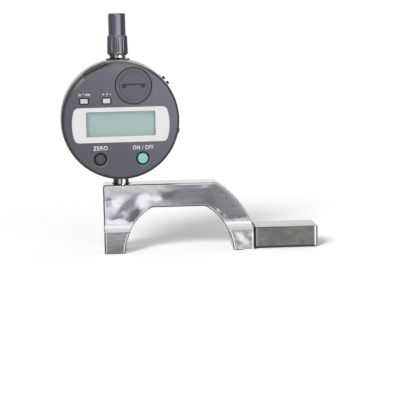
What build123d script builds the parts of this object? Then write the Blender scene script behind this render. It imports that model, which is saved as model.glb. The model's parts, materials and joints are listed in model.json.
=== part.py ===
from build123d import *
import os
from math import cos, radians, sin, sqrt

# Digital recess depth gauge: a round digital indicator held by its stem in one leg of
# an arch-shaped stand, with a handle bar on the other leg. Millimetres. +Z is up, +X
# points to the handle, and the reader looks along +Y. The origin lies in the plane of
# the two feet, midway between them and halfway through their thickness.
os.makedirs("parts", exist_ok=True)

# Fits
running_gap = 0.03
seat_gap = 0.01
loose_gap = 0.2
overrun = 1.0

# Arch stand
stand_width = 77.0
stand_height = 35.3
arch_thickness = 11.0
foot_thickness = 18.0
foot_height = 11.2
leg_width = 10.5
opening_drop = 1.3
opening_height = 23.1
shoulder_run = 19.3
shoulder_radius = 45.0
shoulder_end = 11.9
corner_bevel = 0.8
edge_break = 0.35

# Handle bar and what joins it to the stand
handle_length = 33.8
handle_height = 11.6
handle_thickness = 12.8
handle_lift = 0.35
handle_edge = 0.6
handle_end_bevel = 1.2
stud_radius = 2.0
stud_length = 20.0
dowel_radius = 1.0
dowel_length = 10.0

# Stem and the split bush and screw that clamp it
stem_inset = 9.4
stem_radius = 4.0
stem_depth = 19.5
bush_wall = 0.7
bush_slit = 1.2
clamp_screw_radius = 2.0
clamp_screw_height = 26.0
clamp_screw_socket = 2.0
clamp_screw_socket_depth = 2.2
passage_radius = 3.0

# Indicator, with distances in front of the spindle's axis counted as positive
indicator_turn = 2.4
case_clearance = 3.9
case_radius = 29.8
case_wall = 2.2
case_floor = 1.6
case_back = -6.5
case_front = 7.6
back_plate_thickness = 1.8
back_plate_margin = 1.6
face_step = 0.4
face_front = 15.0
face_wall = 2.0
rim_round = 1.5
spigot_wall = 1.2
spigot_depth = 1.8
gasket_thickness = 0.4
notch_cut = 1.4
notch_length = 13.2
notch_angle = 114.8
notch_depth = 3.0
nib_angle = -11.5
nib_width = 2.4
nib_height = 0.65
nib_length = 4.0
nib_round = 0.5

# Display
bezel_margin = 5.1
bezel_height = 17.5
bezel_drop = -1.75
bezel_corner = 2.6
bezel_thickness = 1.1
bezel_recess = 1.2
screen_width = 34.6
screen_height = 12.5
screen_drop = -1.35
screen_corner = 0.6
screen_margin = 0.8
screen_thickness = 0.7
panel_margin = 1.4
panel_thickness = 2.3

# Keys: two small rectangular ones and two round ones
key_width = 3.8
key_height = 2.5
key_corner = 0.4
key_well_margin = 0.55
key_well_depth = 0.7
key_below_face = 0.1
key_flange = 0.6
key_flange_thickness = 0.6
key_gap = 0.05
key_travel = 0.5
unit_key_at = (-17.9, 10.4)
sign_key_at = (-6.8, 10.3)
origin_button_angle = -119.4
power_button_angle = -60.8
button_edge = 7.7
origin_button_radius = 2.4
power_button_radius = 2.55
button_well_margin = 0.45
button_dish = 0.6
button_well_depth = 0.9
button_proud = 0.25
button_bevel = 0.3

# Battery and its cover
battery_angle = 69.05
battery_edge = 1.46
battery_radius = 5.8
battery_height = 5.4
battery_cover_radius = 8.85
battery_groove = 0.35
battery_plate = 0.9
battery_skirt = 8.45
battery_skirt_wall = 1.3
battery_skirt_depth = 2.6
battery_dish = 7.1
battery_dish_depth = 0.25
battery_dish_taper = 45
battery_cover_sunk = 0.03
coin_slot_length = 11.5
coin_slot_width = 2.0
coin_pocket = 2.2
coin_pocket_depth = 0.6
coin_line = 0.35
seal_section = 0.5
battery_below_wall = 0.4
contact_thickness = 0.2
contact_radius = 3.9
holder_wall = 0.7
holder_floor = 0.8
holder_flange = 1.0
holder_flange_thickness = 0.6

# Boards and switches
board_clearance = 0.9
board_thickness = 1.2
board_post_radius = 2.2
board_post_edge = 1.88
board_screw_radius = 0.8
board_screw_head = 1.5
board_screw_head_height = 0.8
board_screw_depth = 4.0
switch_size = 3.2
switch_height = 0.9
switch_button_radius = 0.8

# Spindle and what it carries
spindle_radius = 2.5
spindle_end = 12.0
spindle_rise = 2.2
spindle_drop = 10.5
bearing_wall = 0.5
bearing_length = 7.0
needle_radius = 0.8
needle_length = 7.5
contact_collar_radius = 2.2
contact_cone_height = 1.5
contact_stud_radius = 1.15
contact_stud_length = 4.0
carriage_height = 8.0
carriage_thickness = 6.4
carriage_left = 10.0
carriage_right = 4.0
scale_width = 5.0
scale_length = 26.0
scale_thickness = 0.9
scale_at = -7.0
scale_rise = 2.0
scale_rib = 1.2
detector_gap = 0.45
detector_width = 13.0
detector_height = 24.0
detector_thickness = 1.0
detector_post_radius = 1.5
detector_post_at = -14.6
detector_post_spread = 18.0
guide_pin_radius = 1.0
guide_pin_seat = 1.2
guide_pin_reach = 3.6
guide_rail_grip = 2.6
guide_rail_wall = 1.6
guide_rail_end = 3.0
spring_wire = 0.3
spring_sides = 6
spring_pitch = 5.2
spring_clearance = 0.5

# Bosses in the case, neck and cap above it
boss_width = 13.0
boss_depth = 5.4
boss_front = 5.6
neck_boss_radius = 6.0
neck_seal_thickness = 0.4
neck_collar_radius = 5.2
neck_collar_height = 0.7
neck_engagement = 3.4
cap_gap = 0.9
cap_height = 21.0
cap_grip_height = 9.5
cap_grip_radius = 5.35
cap_grip_top_radius = 5.05
cap_top_radius = 4.3
cap_neck_radius = 4.3
cap_bevel = 1.0
cap_top_round = 0.8
cap_shoulder_slope = 0.7
cap_bore_radius = 3.0
cap_roof = 1.5
flute_count = 12
flute_radius = 0.95
flute_depth = 0.5
flute_foot = 1.0

# Data socket on the rim
socket_angle = 38.0
socket_width = 8.0
socket_height = 5.0
socket_depth = 3.2
socket_inset = 0.5
socket_wall = 0.8
socket_rib_width = 1.2
socket_rib_spread = 3.2
socket_rib_height = 1.2
plug_depth = 1.6

# Screws of the back plate, which go into the posts that carry the main board
back_screw_radius = 1.1
back_screw_depth = 4.0
back_screw_head_radius = 2.0
back_screw_head_height = 1.1
back_screw_socket = 0.8
back_screw_socket_depth = 0.7

# Worked-out places
half_width = stand_width / 2
opening_radius = half_width - leg_width
flat_top_end = half_width - shoulder_run
stem_x = stem_inset - half_width
dial_height = stand_height + case_clearance + case_radius
face_radius = case_radius - face_step
notch_distance = face_radius - notch_cut
bezel_radius = face_radius - bezel_margin
foot_step = (foot_thickness - arch_thickness) / 2
bush_radius = stem_radius + running_gap + bush_wall
clamp_plane = Plane(origin=(-half_width, 0, clamp_screw_height), x_dir=(0, 1, 0), z_dir=(-1, 0, 0))
handle_centre = handle_lift + handle_height / 2
joint_plane = Plane(origin=(half_width, 0, handle_centre), x_dir=(0, 1, 0), z_dir=(1, 0, 0))
dowel_spread = stud_radius + handle_thickness / 2 - handle_end_bevel
turn = radians(indicator_turn)
dial = Plane(
    origin=(stem_x, 0, dial_height),
    x_dir=(cos(turn), sin(turn), 0),
    z_dir=(sin(turn), -cos(turn), 0),
)
reading_axis = Axis(dial.origin, dial.z_dir)
spindle_side = Plane(origin=(stem_x, 0, 0), x_dir=(1, 0, 0), z_dir=(0, -1, 0))
spindle_axis = Axis((stem_x, 0, 0), (0, 0, 1))
case_bore = case_radius - case_wall
floor_front = case_back + case_floor
wall_back = face_front - face_wall
cover_back = case_front + gasket_thickness
cover_depth = face_front - cover_back
cover_bore = case_bore - spigot_wall
board_radius = cover_bore - board_clearance
board_post_spacing = (board_radius - board_post_edge) * sqrt(2)
flange_front = wall_back - key_gap
board_front = wall_back - panel_thickness - key_gap * 2
board_back = board_front - board_thickness
key_back = flange_front - key_flange_thickness
switch_front = board_front + switch_height
switch_button_height = key_back - key_travel - key_gap - switch_front
case_top = dial_height + case_radius
case_bottom = dial_height - case_radius
stem_bottom = stand_height - stem_depth
boss_inner = case_bore - boss_depth
neck_base = case_top + neck_seal_thickness
cap_bottom = neck_base + neck_collar_height + cap_gap
cap_top = cap_bottom + cap_height
neck_top = cap_bottom + neck_engagement
spindle_top = cap_top - cap_roof - loose_gap - spindle_rise
carriage_top = dial_height + carriage_height / 2


def face_point(distance, angle):
    """Place on the dial at a distance and an angle from its centre."""
    return (distance * cos(radians(angle)), distance * sin(radians(angle)))


battery_reach = battery_edge + battery_groove + battery_cover_radius
battery_at = face_point(face_radius - battery_reach, battery_angle)
origin_button_at = face_point(face_radius - button_edge, origin_button_angle)
power_button_at = face_point(face_radius - button_edge, power_button_angle)
round_buttons = (
    (origin_button_at, origin_button_radius),
    (power_button_at, power_button_radius),
)
glass_width = screen_width + 2 * screen_margin
glass_height = screen_height + 2 * screen_margin
battery_back = wall_back - battery_below_wall - battery_height
holder_bore = battery_radius + seat_gap
bearing_radius = spindle_radius + running_gap + bearing_wall
rail_left = carriage_right + guide_pin_reach - guide_rail_grip
rail_width = guide_rail_grip + loose_gap + guide_rail_wall
rail_front = guide_pin_radius + key_gap + guide_rail_wall
plug_height = socket_height - 2 * socket_wall - 2 * key_gap
plug_width = socket_width - 2 * socket_wall - 2 * key_gap
pin_plane = Plane(
    origin=dial.origin + dial.x_dir * carriage_right,
    x_dir=dial.z_dir,
    z_dir=dial.x_dir,
)
scale_back = carriage_thickness / 2
detector_back = scale_back + scale_thickness + detector_gap


def rim_plane(angle, radius):
    """Plane facing outwards at an angle on the rim, its x towards the reader."""
    outwards = dial.x_dir * cos(radians(angle)) + dial.y_dir * sin(radians(angle))
    return Plane(origin=dial.origin + outwards * radius, x_dir=dial.z_dir, z_dir=outwards)


def level(height):
    """Horizontal plane whose origin is on the spindle's axis."""
    return Plane(origin=(stem_x, 0, height), x_dir=dial.x_dir, z_dir=(0, 0, 1))


def bezel_outline(growth):
    """Band across the dial with straight top and bottom and bulging ends."""
    with BuildSketch() as outline:
        Circle(bezel_radius + growth)
        Rectangle(2 * face_radius, bezel_height + 2 * growth, mode=Mode.INTERSECT)
        fillet(outline.vertices(), bezel_corner)
    return outline.sketch


def finish(name, label):
    """Name a piece and write its file."""
    name.part.label = label
    export_step(name.part, f"parts/{label}.step")


# Arch stand: the front outline crossed with a side outline that has the thicker feet
with BuildPart() as arch_frame:
    with BuildSketch(Plane.XZ):
        with BuildLine():
            outline = Polyline(
                (flat_top_end, stand_height),
                (-half_width, stand_height),
                (-half_width, 0),
                (half_width, 0),
                (half_width, shoulder_end),
            )
            RadiusArc(outline @ 1, outline @ 0, -shoulder_radius)
        make_face()
    extrude(amount=foot_thickness, both=True)
    with BuildSketch(Plane.XZ):
        with Locations((0, -opening_drop)):
            Circle(opening_radius)
        with Locations((0, opening_height)):
            Rectangle(
                stand_width,
                stand_width,
                align=(Align.CENTER, Align.MAX),
                mode=Mode.INTERSECT,
            )
    extrude(amount=foot_thickness, both=True, mode=Mode.SUBTRACT)
    with BuildSketch(Plane.YZ):
        with BuildLine():
            Polyline((0, 0), (foot_thickness / 2, 0), (foot_thickness / 2, foot_height))
            CenterArc((foot_thickness / 2, foot_height + foot_step), foot_step, 180, 90)
            Polyline(
                (arch_thickness / 2, foot_height + foot_step),
                (arch_thickness / 2, stand_height),
                (0, stand_height),
            )
            mirror(about=Plane.YZ)
        make_face()
    extrude(amount=stand_width, both=True, mode=Mode.INTERSECT)
    top_left = arch_frame.edges().filter_by(Axis.Y).group_by(Axis.Z)[-1].sort_by(Axis.X)[0]
    chamfer(top_left, corner_bevel)
    blend_top = foot_height + foot_step
    smooth_lines = arch_frame.edges().filter_by(Axis.X).filter_by_position(
        Axis.Z, blend_top - seat_gap, blend_top + seat_gap
    )
    chamfer(arch_frame.edges() - smooth_lines, edge_break)
    with Locations((stem_x, 0, stand_height)):
        Hole(bush_radius + seat_gap, depth=stem_depth)
        Hole(passage_radius)
    chamfer(arch_frame.edges().filter_by(GeomType.CIRCLE).group_by(Axis.Z)[-1], edge_break)
    with Locations(clamp_plane):
        Hole(clamp_screw_radius + seat_gap, depth=half_width + stem_x - stem_radius)
    with Locations(joint_plane):
        Hole(stud_radius + seat_gap, depth=stud_length / 2 + loose_gap)
        with GridLocations(dowel_spread, 1, 2, 1):
            Hole(dowel_radius + seat_gap, depth=dowel_length / 2 + loose_gap)
finish(arch_frame, "arch_frame")

# Handle bar, its stud and its two dowels
with BuildPart() as handle_bar:
    with BuildSketch(joint_plane):
        Rectangle(handle_thickness, handle_height)
    extrude(amount=handle_length)
    handle_ends = handle_bar.edges().group_by(Axis.X)
    chamfer(handle_ends[0] + handle_ends[-1], handle_end_bevel)
    chamfer(handle_bar.edges().filter_by(Axis.X), handle_edge)
    with Locations(joint_plane):
        Hole(stud_radius + seat_gap, depth=stud_length / 2 + loose_gap)
        with GridLocations(dowel_spread, 1, 2, 1):
            Hole(dowel_radius + seat_gap, depth=dowel_length / 2 + loose_gap)
finish(handle_bar, "handle_bar")

with BuildPart() as handle_stud:
    with BuildSketch(joint_plane):
        Circle(stud_radius)
    extrude(amount=stud_length / 2, both=True)
    chamfer(handle_stud.edges().filter_by(GeomType.CIRCLE), edge_break)
finish(handle_stud, "handle_stud")

with BuildPart() as handle_dowels:
    with BuildSketch(joint_plane):
        with GridLocations(dowel_spread, 1, 2, 1):
            Circle(dowel_radius)
    extrude(amount=dowel_length / 2, both=True)
    chamfer(handle_dowels.edges().filter_by(GeomType.CIRCLE), edge_break)
finish(handle_dowels, "handle_dowels")

# Split bush in the stand, and the set screw that closes it on the stem
with BuildPart() as stem_bush:
    with BuildSketch(level(stem_bottom)):
        Circle(bush_radius)
        Circle(stem_radius + running_gap, mode=Mode.SUBTRACT)
        with Locations((0, bush_radius)):
            Rectangle(bush_slit, 2 * bush_wall + stem_radius, mode=Mode.SUBTRACT)
    extrude(amount=stem_depth)
finish(stem_bush, "stem_bush")

clamp_screw_length = half_width + stem_x - bush_radius - edge_break - seat_gap
with BuildPart() as clamp_screw:
    with BuildSketch(clamp_plane.offset(-edge_break)):
        Circle(clamp_screw_radius)
    extrude(amount=-clamp_screw_length)
    chamfer(clamp_screw.edges().filter_by(GeomType.CIRCLE), edge_break)
    with BuildSketch(clamp_plane.offset(-edge_break)):
        RegularPolygon(clamp_screw_socket / 2, 6)
    extrude(amount=-clamp_screw_socket_depth, mode=Mode.SUBTRACT)
finish(clamp_screw, "clamp_screw")

# Rear case: a round metal cup with bosses for the stem and the neck
with BuildPart() as rear_case:
    with BuildSketch(dial.offset(case_back)):
        Circle(case_radius)
    extrude(amount=case_front - case_back)
    fillet(rear_case.edges().group_by(reading_axis)[0], edge_break)
    with BuildSketch(dial.offset(floor_front)):
        Circle(case_bore)
    extrude(amount=case_front - floor_front, mode=Mode.SUBTRACT)
    with BuildSketch(dial.offset(floor_front)):
        with GridLocations(1, 2 * boss_inner + boss_depth, 1, 2):
            Rectangle(boss_width, boss_depth)
        Circle(case_bore + case_wall / 2, mode=Mode.INTERSECT)
    extrude(amount=boss_front - floor_front)
    with BuildSketch(level(dial_height + case_bore), level(case_bottom)):
        Circle(neck_boss_radius)
    extrude(amount=case_wall)
    with BuildSketch(dial.offset(floor_front)):
        with GridLocations(board_post_spacing, board_post_spacing, 2, 2):
            Circle(board_post_radius)
    extrude(amount=board_back - floor_front)
    with BuildSketch(dial.offset(floor_front)):
        with Locations((detector_post_at, 0)):
            with GridLocations(1, detector_post_spread, 1, 2):
                Circle(detector_post_radius)
    extrude(amount=detector_back - floor_front)
    with BuildSketch(dial.offset(board_back)):
        with GridLocations(board_post_spacing, board_post_spacing, 2, 2):
            Circle(board_screw_radius + seat_gap)
    extrude(amount=-board_screw_depth - loose_gap, mode=Mode.SUBTRACT)
    with BuildSketch(dial.offset(case_back)):
        with GridLocations(board_post_spacing, board_post_spacing, 2, 2):
            Circle(back_screw_radius + seat_gap)
    extrude(amount=back_screw_depth + loose_gap, mode=Mode.SUBTRACT)
    with Locations(level(dial_height)):
        Hole(stem_radius + seat_gap)
    with BuildSketch(rim_plane(socket_angle, case_radius)):
        Rectangle(socket_height, socket_width)
    extrude(amount=-2 * case_wall, mode=Mode.SUBTRACT)
finish(rear_case, "rear_case")

# Flat back and its four screws
with BuildPart() as back_plate:
    with BuildSketch(dial.offset(case_back)):
        Circle(case_radius - back_plate_margin)
    extrude(amount=-back_plate_thickness)
    chamfer(back_plate.edges().group_by(reading_axis)[0], edge_break)
    with BuildSketch(dial.offset(case_back - back_plate_thickness)):
        with GridLocations(board_post_spacing, board_post_spacing, 2, 2):
            Circle(back_screw_head_radius + loose_gap)
    extrude(amount=back_screw_head_height, mode=Mode.SUBTRACT)
    with BuildSketch(dial.offset(case_back)):
        with GridLocations(board_post_spacing, board_post_spacing, 2, 2):
            Circle(back_screw_radius + loose_gap)
    extrude(amount=-back_plate_thickness, mode=Mode.SUBTRACT)
finish(back_plate, "back_plate")

with BuildPart() as back_screws:
    with BuildSketch(dial.offset(case_back - back_plate_thickness)):
        with GridLocations(board_post_spacing, board_post_spacing, 2, 2):
            Circle(back_screw_head_radius)
    extrude(amount=back_screw_head_height)
    with BuildSketch(dial.offset(case_back - back_plate_thickness)):
        with GridLocations(board_post_spacing, board_post_spacing, 2, 2):
            Circle(back_screw_radius)
    extrude(amount=back_plate_thickness + back_screw_depth)
    with BuildSketch(dial.offset(case_back - back_plate_thickness)):
        with GridLocations(board_post_spacing, board_post_spacing, 2, 2):
            RegularPolygon(back_screw_socket, 6)
    extrude(amount=back_screw_socket_depth, mode=Mode.SUBTRACT)
finish(back_screws, "back_screws")

# Front cover: a moulded shell with its face, openings and wells
with BuildPart() as front_cover:
    with BuildSketch(dial.offset(cover_back)):
        Circle(face_radius)
    extrude(amount=cover_depth)
    fillet(front_cover.edges().group_by(reading_axis)[-1], rim_round)
    with BuildSketch(dial.offset(cover_back)):
        Circle(case_bore - running_gap)
    extrude(amount=-gasket_thickness - spigot_depth)
    with BuildSketch(dial.offset(wall_back)):
        Circle(cover_bore)
    extrude(amount=-cover_depth - gasket_thickness - spigot_depth, mode=Mode.SUBTRACT)
    with BuildSketch(dial.offset(face_front)):
        with PolarLocations(notch_distance, 1, start_angle=notch_angle):
            Rectangle(
                face_radius - notch_distance + overrun,
                notch_length,
                align=(Align.MIN, Align.CENTER),
            )
    extrude(amount=-notch_depth, mode=Mode.SUBTRACT)
    with BuildSketch(rim_plane(nib_angle, face_radius - nib_height)):
        with Locations((cover_back + nib_length / 2, 0)):
            RectangleRounded(nib_length, nib_width, nib_round)
    extrude(amount=2 * nib_height)
    with BuildSketch(dial.offset(face_front)):
        with Locations((0, bezel_drop)):
            add(bezel_outline(key_gap))
    extrude(amount=-bezel_recess, mode=Mode.SUBTRACT)
    with BuildSketch(dial.offset(face_front)):
        with Locations((0, screen_drop)):
            Rectangle(glass_width + 2 * key_gap, glass_height + 2 * key_gap)
    extrude(amount=-face_wall, mode=Mode.SUBTRACT)
    with BuildSketch(dial.offset(face_front)):
        with Locations(battery_at):
            Circle(battery_cover_radius + battery_groove)
    extrude(amount=-battery_plate - key_gap, mode=Mode.SUBTRACT)
    with BuildSketch(dial.offset(face_front)):
        with Locations(battery_at):
            Circle(battery_skirt + key_gap)
    extrude(amount=-battery_plate - battery_skirt_depth - loose_gap, mode=Mode.SUBTRACT)
    with BuildSketch(dial.offset(face_front)):
        with Locations(unit_key_at, sign_key_at):
            RectangleRounded(
                key_width + 2 * key_well_margin,
                key_height + 2 * key_well_margin,
                key_corner + key_well_margin,
            )
    extrude(amount=-key_well_depth, mode=Mode.SUBTRACT)
    with BuildSketch(dial.offset(face_front)):
        with Locations(unit_key_at, sign_key_at):
            RectangleRounded(key_width + 2 * key_gap, key_height + 2 * key_gap, key_corner)
    extrude(amount=-face_wall, mode=Mode.SUBTRACT)
    for at, radius in round_buttons:
        with BuildSketch(dial.offset(face_front)):
            with Locations(at):
                Circle(radius + button_well_margin + button_dish)
        with BuildSketch(dial.offset(face_front - button_dish)):
            with Locations(at):
                Circle(radius + button_well_margin)
        loft(mode=Mode.SUBTRACT)
        with BuildSketch(dial.offset(face_front)):
            with Locations(at):
                Circle(radius + button_well_margin)
        extrude(amount=-button_well_depth, mode=Mode.SUBTRACT)
        with BuildSketch(dial.offset(face_front)):
            with Locations(at):
                Circle(radius + key_gap)
        extrude(amount=-face_wall, mode=Mode.SUBTRACT)
finish(front_cover, "front_cover")

with BuildPart() as case_gasket:
    with BuildSketch(dial.offset(case_front)):
        Circle(face_radius - edge_break)
        Circle(case_bore + seat_gap, mode=Mode.SUBTRACT)
    extrude(amount=gasket_thickness)
finish(case_gasket, "case_gasket")

# Display: bezel plate, glass and panel
with BuildPart() as display_bezel:
    with BuildSketch(dial.offset(face_front - bezel_recess + seat_gap)):
        with Locations((0, bezel_drop)):
            add(bezel_outline(0))
        with Locations((0, screen_drop)):
            RectangleRounded(screen_width, screen_height, screen_corner, mode=Mode.SUBTRACT)
    extrude(amount=bezel_thickness)
finish(display_bezel, "display_bezel")

with BuildPart() as display_glass:
    with BuildSketch(dial.offset(face_front - bezel_recess)):
        with Locations((0, screen_drop)):
            Rectangle(glass_width, glass_height)
    extrude(amount=-screen_thickness)
finish(display_glass, "display_glass")

with BuildPart() as display_panel:
    with BuildSketch(dial.offset(board_front)):
        with Locations((0, screen_drop)):
            Rectangle(screen_width + 2 * panel_margin, screen_height + 2 * panel_margin)
    extrude(amount=panel_thickness)
finish(display_panel, "display_panel")

# Keys, each with a flange behind the face
for label, at in (("unit_key", unit_key_at), ("sign_key", sign_key_at)):
    with BuildPart() as key:
        with BuildSketch(dial.offset(flange_front)):
            with Locations(at):
                RectangleRounded(key_width, key_height, key_corner)
        extrude(amount=face_front - key_below_face - flange_front)
        chamfer(key.edges().group_by(reading_axis)[-1], key_gap)
        with BuildSketch(dial.offset(flange_front)):
            with Locations(at):
                Rectangle(key_width + 2 * key_flange, key_height + 2 * key_flange)
        extrude(amount=-key_flange_thickness)
    finish(key, label)

for label, (at, radius) in zip(("origin_button", "power_button"), round_buttons):
    with BuildPart() as button:
        with BuildSketch(dial.offset(flange_front)):
            with Locations(at):
                Circle(radius)
        extrude(amount=face_front + button_proud - flange_front)
        chamfer(button.edges().group_by(reading_axis)[-1], button_bevel)
        with BuildSketch(dial.offset(flange_front)):
            with Locations(at):
                Circle(radius + key_flange)
        extrude(amount=-key_flange_thickness)
    finish(button, label)

# Battery, its holder and contact, and the cover that a coin turns
with BuildPart() as battery:
    with BuildSketch(dial.offset(battery_back)):
        with Locations(battery_at):
            Circle(battery_radius)
    extrude(amount=battery_height)
    chamfer(battery.edges().filter_by(GeomType.CIRCLE), edge_break)
finish(battery, "battery")

with BuildPart() as battery_contact:
    with BuildSketch(dial.offset(battery_back)):
        with Locations(battery_at):
            Circle(contact_radius)
    extrude(amount=-contact_thickness)
finish(battery_contact, "battery_contact")

with BuildPart() as battery_holder:
    with BuildSketch(dial.offset(battery_back - contact_thickness - holder_floor)):
        with Locations(battery_at):
            Circle(holder_bore + holder_wall)
    extrude(amount=board_front - battery_back + contact_thickness + holder_floor)
    with BuildSketch(dial.offset(board_front)):
        with Locations(battery_at):
            Circle(holder_bore + holder_wall + holder_flange)
    extrude(amount=holder_flange_thickness)
    with BuildSketch(dial.offset(battery_back - contact_thickness)):
        with Locations(battery_at):
            Circle(holder_bore)
    extrude(amount=battery_height, mode=Mode.SUBTRACT)
finish(battery_holder, "battery_holder")

battery_plane = dial.offset(face_front - battery_cover_sunk)
with BuildPart() as battery_cover:
    with BuildSketch(battery_plane):
        with Locations(battery_at):
            Circle(battery_cover_radius)
    extrude(amount=-battery_plate)
    with BuildSketch(battery_plane.offset(-battery_plate)):
        with Locations(battery_at):
            Circle(battery_skirt)
    extrude(amount=-battery_skirt_depth)
    with BuildSketch(battery_plane.offset(-battery_plate)):
        with Locations(battery_at):
            Circle(battery_skirt - battery_skirt_wall)
    extrude(amount=-battery_skirt_depth, mode=Mode.SUBTRACT)
    with BuildSketch(battery_plane.offset(-battery_plate - seal_section)):
        with Locations(battery_at):
            Circle(battery_skirt)
            Circle(battery_skirt - seal_section - seat_gap, mode=Mode.SUBTRACT)
    extrude(amount=-seal_section, mode=Mode.SUBTRACT)
    with BuildSketch(battery_plane):
        with Locations(battery_at):
            Circle(battery_dish)
    extrude(amount=-battery_dish_depth, taper=battery_dish_taper, mode=Mode.SUBTRACT)
    with BuildSketch(battery_plane):
        with Locations(battery_at):
            with GridLocations(coin_slot_length - coin_pocket, 1, 2, 1):
                Rectangle(coin_pocket, coin_slot_width)
            with Locations((0, coin_slot_width / 2)):
                Rectangle(coin_slot_length, coin_line, align=(Align.CENTER, Align.MAX))
    extrude(amount=-battery_dish_depth - coin_pocket_depth, mode=Mode.SUBTRACT)
finish(battery_cover, "battery_cover")

with BuildPart() as battery_seal:
    with BuildSketch(battery_plane.offset(-battery_plate - seal_section - seat_gap)):
        with Locations(battery_at):
            Circle(battery_skirt)
            Circle(battery_skirt - seal_section, mode=Mode.SUBTRACT)
    extrude(amount=-seal_section + 2 * seat_gap)
finish(battery_seal, "battery_seal")

# Main board with its screws and the switches behind the keys
with BuildPart() as main_board:
    with BuildSketch(dial.offset(board_back)):
        Circle(board_radius)
        with GridLocations(board_post_spacing, board_post_spacing, 2, 2):
            Circle(board_screw_radius + key_gap, mode=Mode.SUBTRACT)
        with Locations(battery_at):
            Circle(holder_bore + holder_wall + key_gap, mode=Mode.SUBTRACT)
    extrude(amount=board_thickness)
finish(main_board, "main_board")

with BuildPart() as board_screws:
    with BuildSketch(dial.offset(board_front)):
        with GridLocations(board_post_spacing, board_post_spacing, 2, 2):
            Circle(board_screw_head)
    extrude(amount=board_screw_head_height)
    with BuildSketch(dial.offset(board_front)):
        with GridLocations(board_post_spacing, board_post_spacing, 2, 2):
            Circle(board_screw_radius)
    extrude(amount=-board_thickness - board_screw_depth)
finish(board_screws, "board_screws")

with BuildPart() as key_switches:
    with BuildSketch(dial.offset(board_front)):
        with Locations(unit_key_at, sign_key_at, origin_button_at, power_button_at):
            Rectangle(switch_size, switch_size)
    extrude(amount=switch_height)
    with BuildSketch(dial.offset(switch_front)):
        with Locations(unit_key_at, sign_key_at, origin_button_at, power_button_at):
            Circle(switch_button_radius)
    extrude(amount=switch_button_height)
finish(key_switches, "key_switches")

# Stem and neck, each a tube with a plain bearing at its outer end
with BuildPart() as stem:
    with BuildSketch(level(stem_bottom)):
        Circle(stem_radius)
        Circle(bearing_radius + seat_gap, mode=Mode.SUBTRACT)
    extrude(amount=dial_height - boss_inner - stem_bottom)
    chamfer(stem.edges().group_by(Axis.Z)[0].sort_by(SortBy.RADIUS)[-1], edge_break)
finish(stem, "stem")

with BuildPart() as neck_sleeve:
    with BuildSketch(level(dial_height + boss_inner)):
        Circle(stem_radius)
    extrude(amount=neck_top - dial_height - boss_inner)
    with BuildSketch(level(neck_base)):
        Circle(neck_collar_radius)
    with BuildSketch(level(neck_base + neck_collar_height)):
        Circle(stem_radius)
    loft()
    with Locations(level(neck_top)):
        Hole(bearing_radius + seat_gap)
finish(neck_sleeve, "neck_sleeve")

for label, bottom in (("stem_bearing", stem_bottom), ("neck_bearing", neck_top - bearing_length)):
    with BuildPart() as bearing:
        with BuildSketch(level(bottom)):
            Circle(bearing_radius)
            Circle(spindle_radius + running_gap, mode=Mode.SUBTRACT)
        extrude(amount=bearing_length)
    finish(bearing, label)

with BuildPart() as neck_seal:
    with BuildSketch(level(case_top)):
        Circle(neck_boss_radius)
        Circle(stem_radius + seat_gap, mode=Mode.SUBTRACT)
    extrude(amount=neck_seal_thickness)
finish(neck_seal, "neck_seal")

# Cap over the spindle's upper end, with a fluted grip
cap_neck_bore = stem_radius + running_gap
flute_centre = cap_grip_radius + flute_radius - flute_depth
flute_bottom = cap_bottom + cap_bevel + flute_foot
with BuildPart() as spindle_cap:
    with BuildSketch(spindle_side):
        with BuildLine():
            Polyline(
                (0, cap_top),
                (0, cap_top - cap_roof),
                (cap_bore_radius, cap_top - cap_roof),
                (cap_bore_radius, neck_top + loose_gap),
                (cap_neck_bore, neck_top + loose_gap),
                (cap_neck_bore, cap_bottom),
                (cap_neck_radius, cap_bottom),
                (cap_grip_radius, cap_bottom + cap_bevel),
                (cap_grip_top_radius, cap_bottom + cap_grip_height),
                (cap_top_radius + running_gap, cap_bottom + cap_grip_height + cap_shoulder_slope),
                (cap_top_radius, cap_top),
                close=True,
            )
        make_face()
    revolve(axis=spindle_axis)
    fillet(spindle_cap.edges().group_by(Axis.Z)[-1], cap_top_round)
    with BuildSketch(level(flute_bottom)):
        with PolarLocations(flute_centre, flute_count):
            Circle(flute_radius)
    extrude(amount=cap_bottom + cap_grip_height + cap_shoulder_slope - flute_bottom, mode=Mode.SUBTRACT)
finish(spindle_cap, "spindle_cap")

# Spindle and the contact screwed into its lower end
with BuildPart() as spindle:
    with BuildSketch(level(spindle_end)):
        Circle(spindle_radius)
    extrude(amount=spindle_top - spindle_end)
    chamfer(spindle.edges().filter_by(GeomType.CIRCLE), edge_break)
    with Locations(level(spindle_end)):
        Hole(contact_stud_radius + seat_gap, depth=contact_stud_length + loose_gap)
finish(spindle, "spindle")

with BuildPart() as contact_point:
    with BuildSketch(spindle_side):
        with BuildLine():
            tip = CenterArc((0, needle_radius), needle_radius, -90, 90)
            Polyline(
                tip @ 1,
                (needle_radius, needle_length),
                (contact_collar_radius, needle_length + contact_cone_height),
                (contact_collar_radius, spindle_end),
                (contact_stud_radius, spindle_end),
                (contact_stud_radius, spindle_end + contact_stud_length),
                (0, spindle_end + contact_stud_length),
                tip @ 0,
            )
        make_face()
    revolve(axis=spindle_axis)
finish(contact_point, "contact_point")

# Carriage clamped on the spindle, with the scale and the pin that stops it turning
with BuildPart() as scale_carriage:
    with BuildSketch(level(dial_height - carriage_height / 2)):
        with Locations(((carriage_right - carriage_left) / 2, 0)):
            Rectangle(carriage_left + carriage_right, carriage_thickness)
        Circle(spindle_radius + seat_gap, mode=Mode.SUBTRACT)
    extrude(amount=carriage_height)
    with BuildSketch(dial.offset(scale_back)):
        with Locations((scale_at, scale_rise)):
            Rectangle(scale_width, scale_length)
    extrude(amount=-scale_rib)
    with Locations(pin_plane):
        Hole(guide_pin_radius + seat_gap, depth=guide_pin_seat)
finish(scale_carriage, "scale_carriage")

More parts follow.
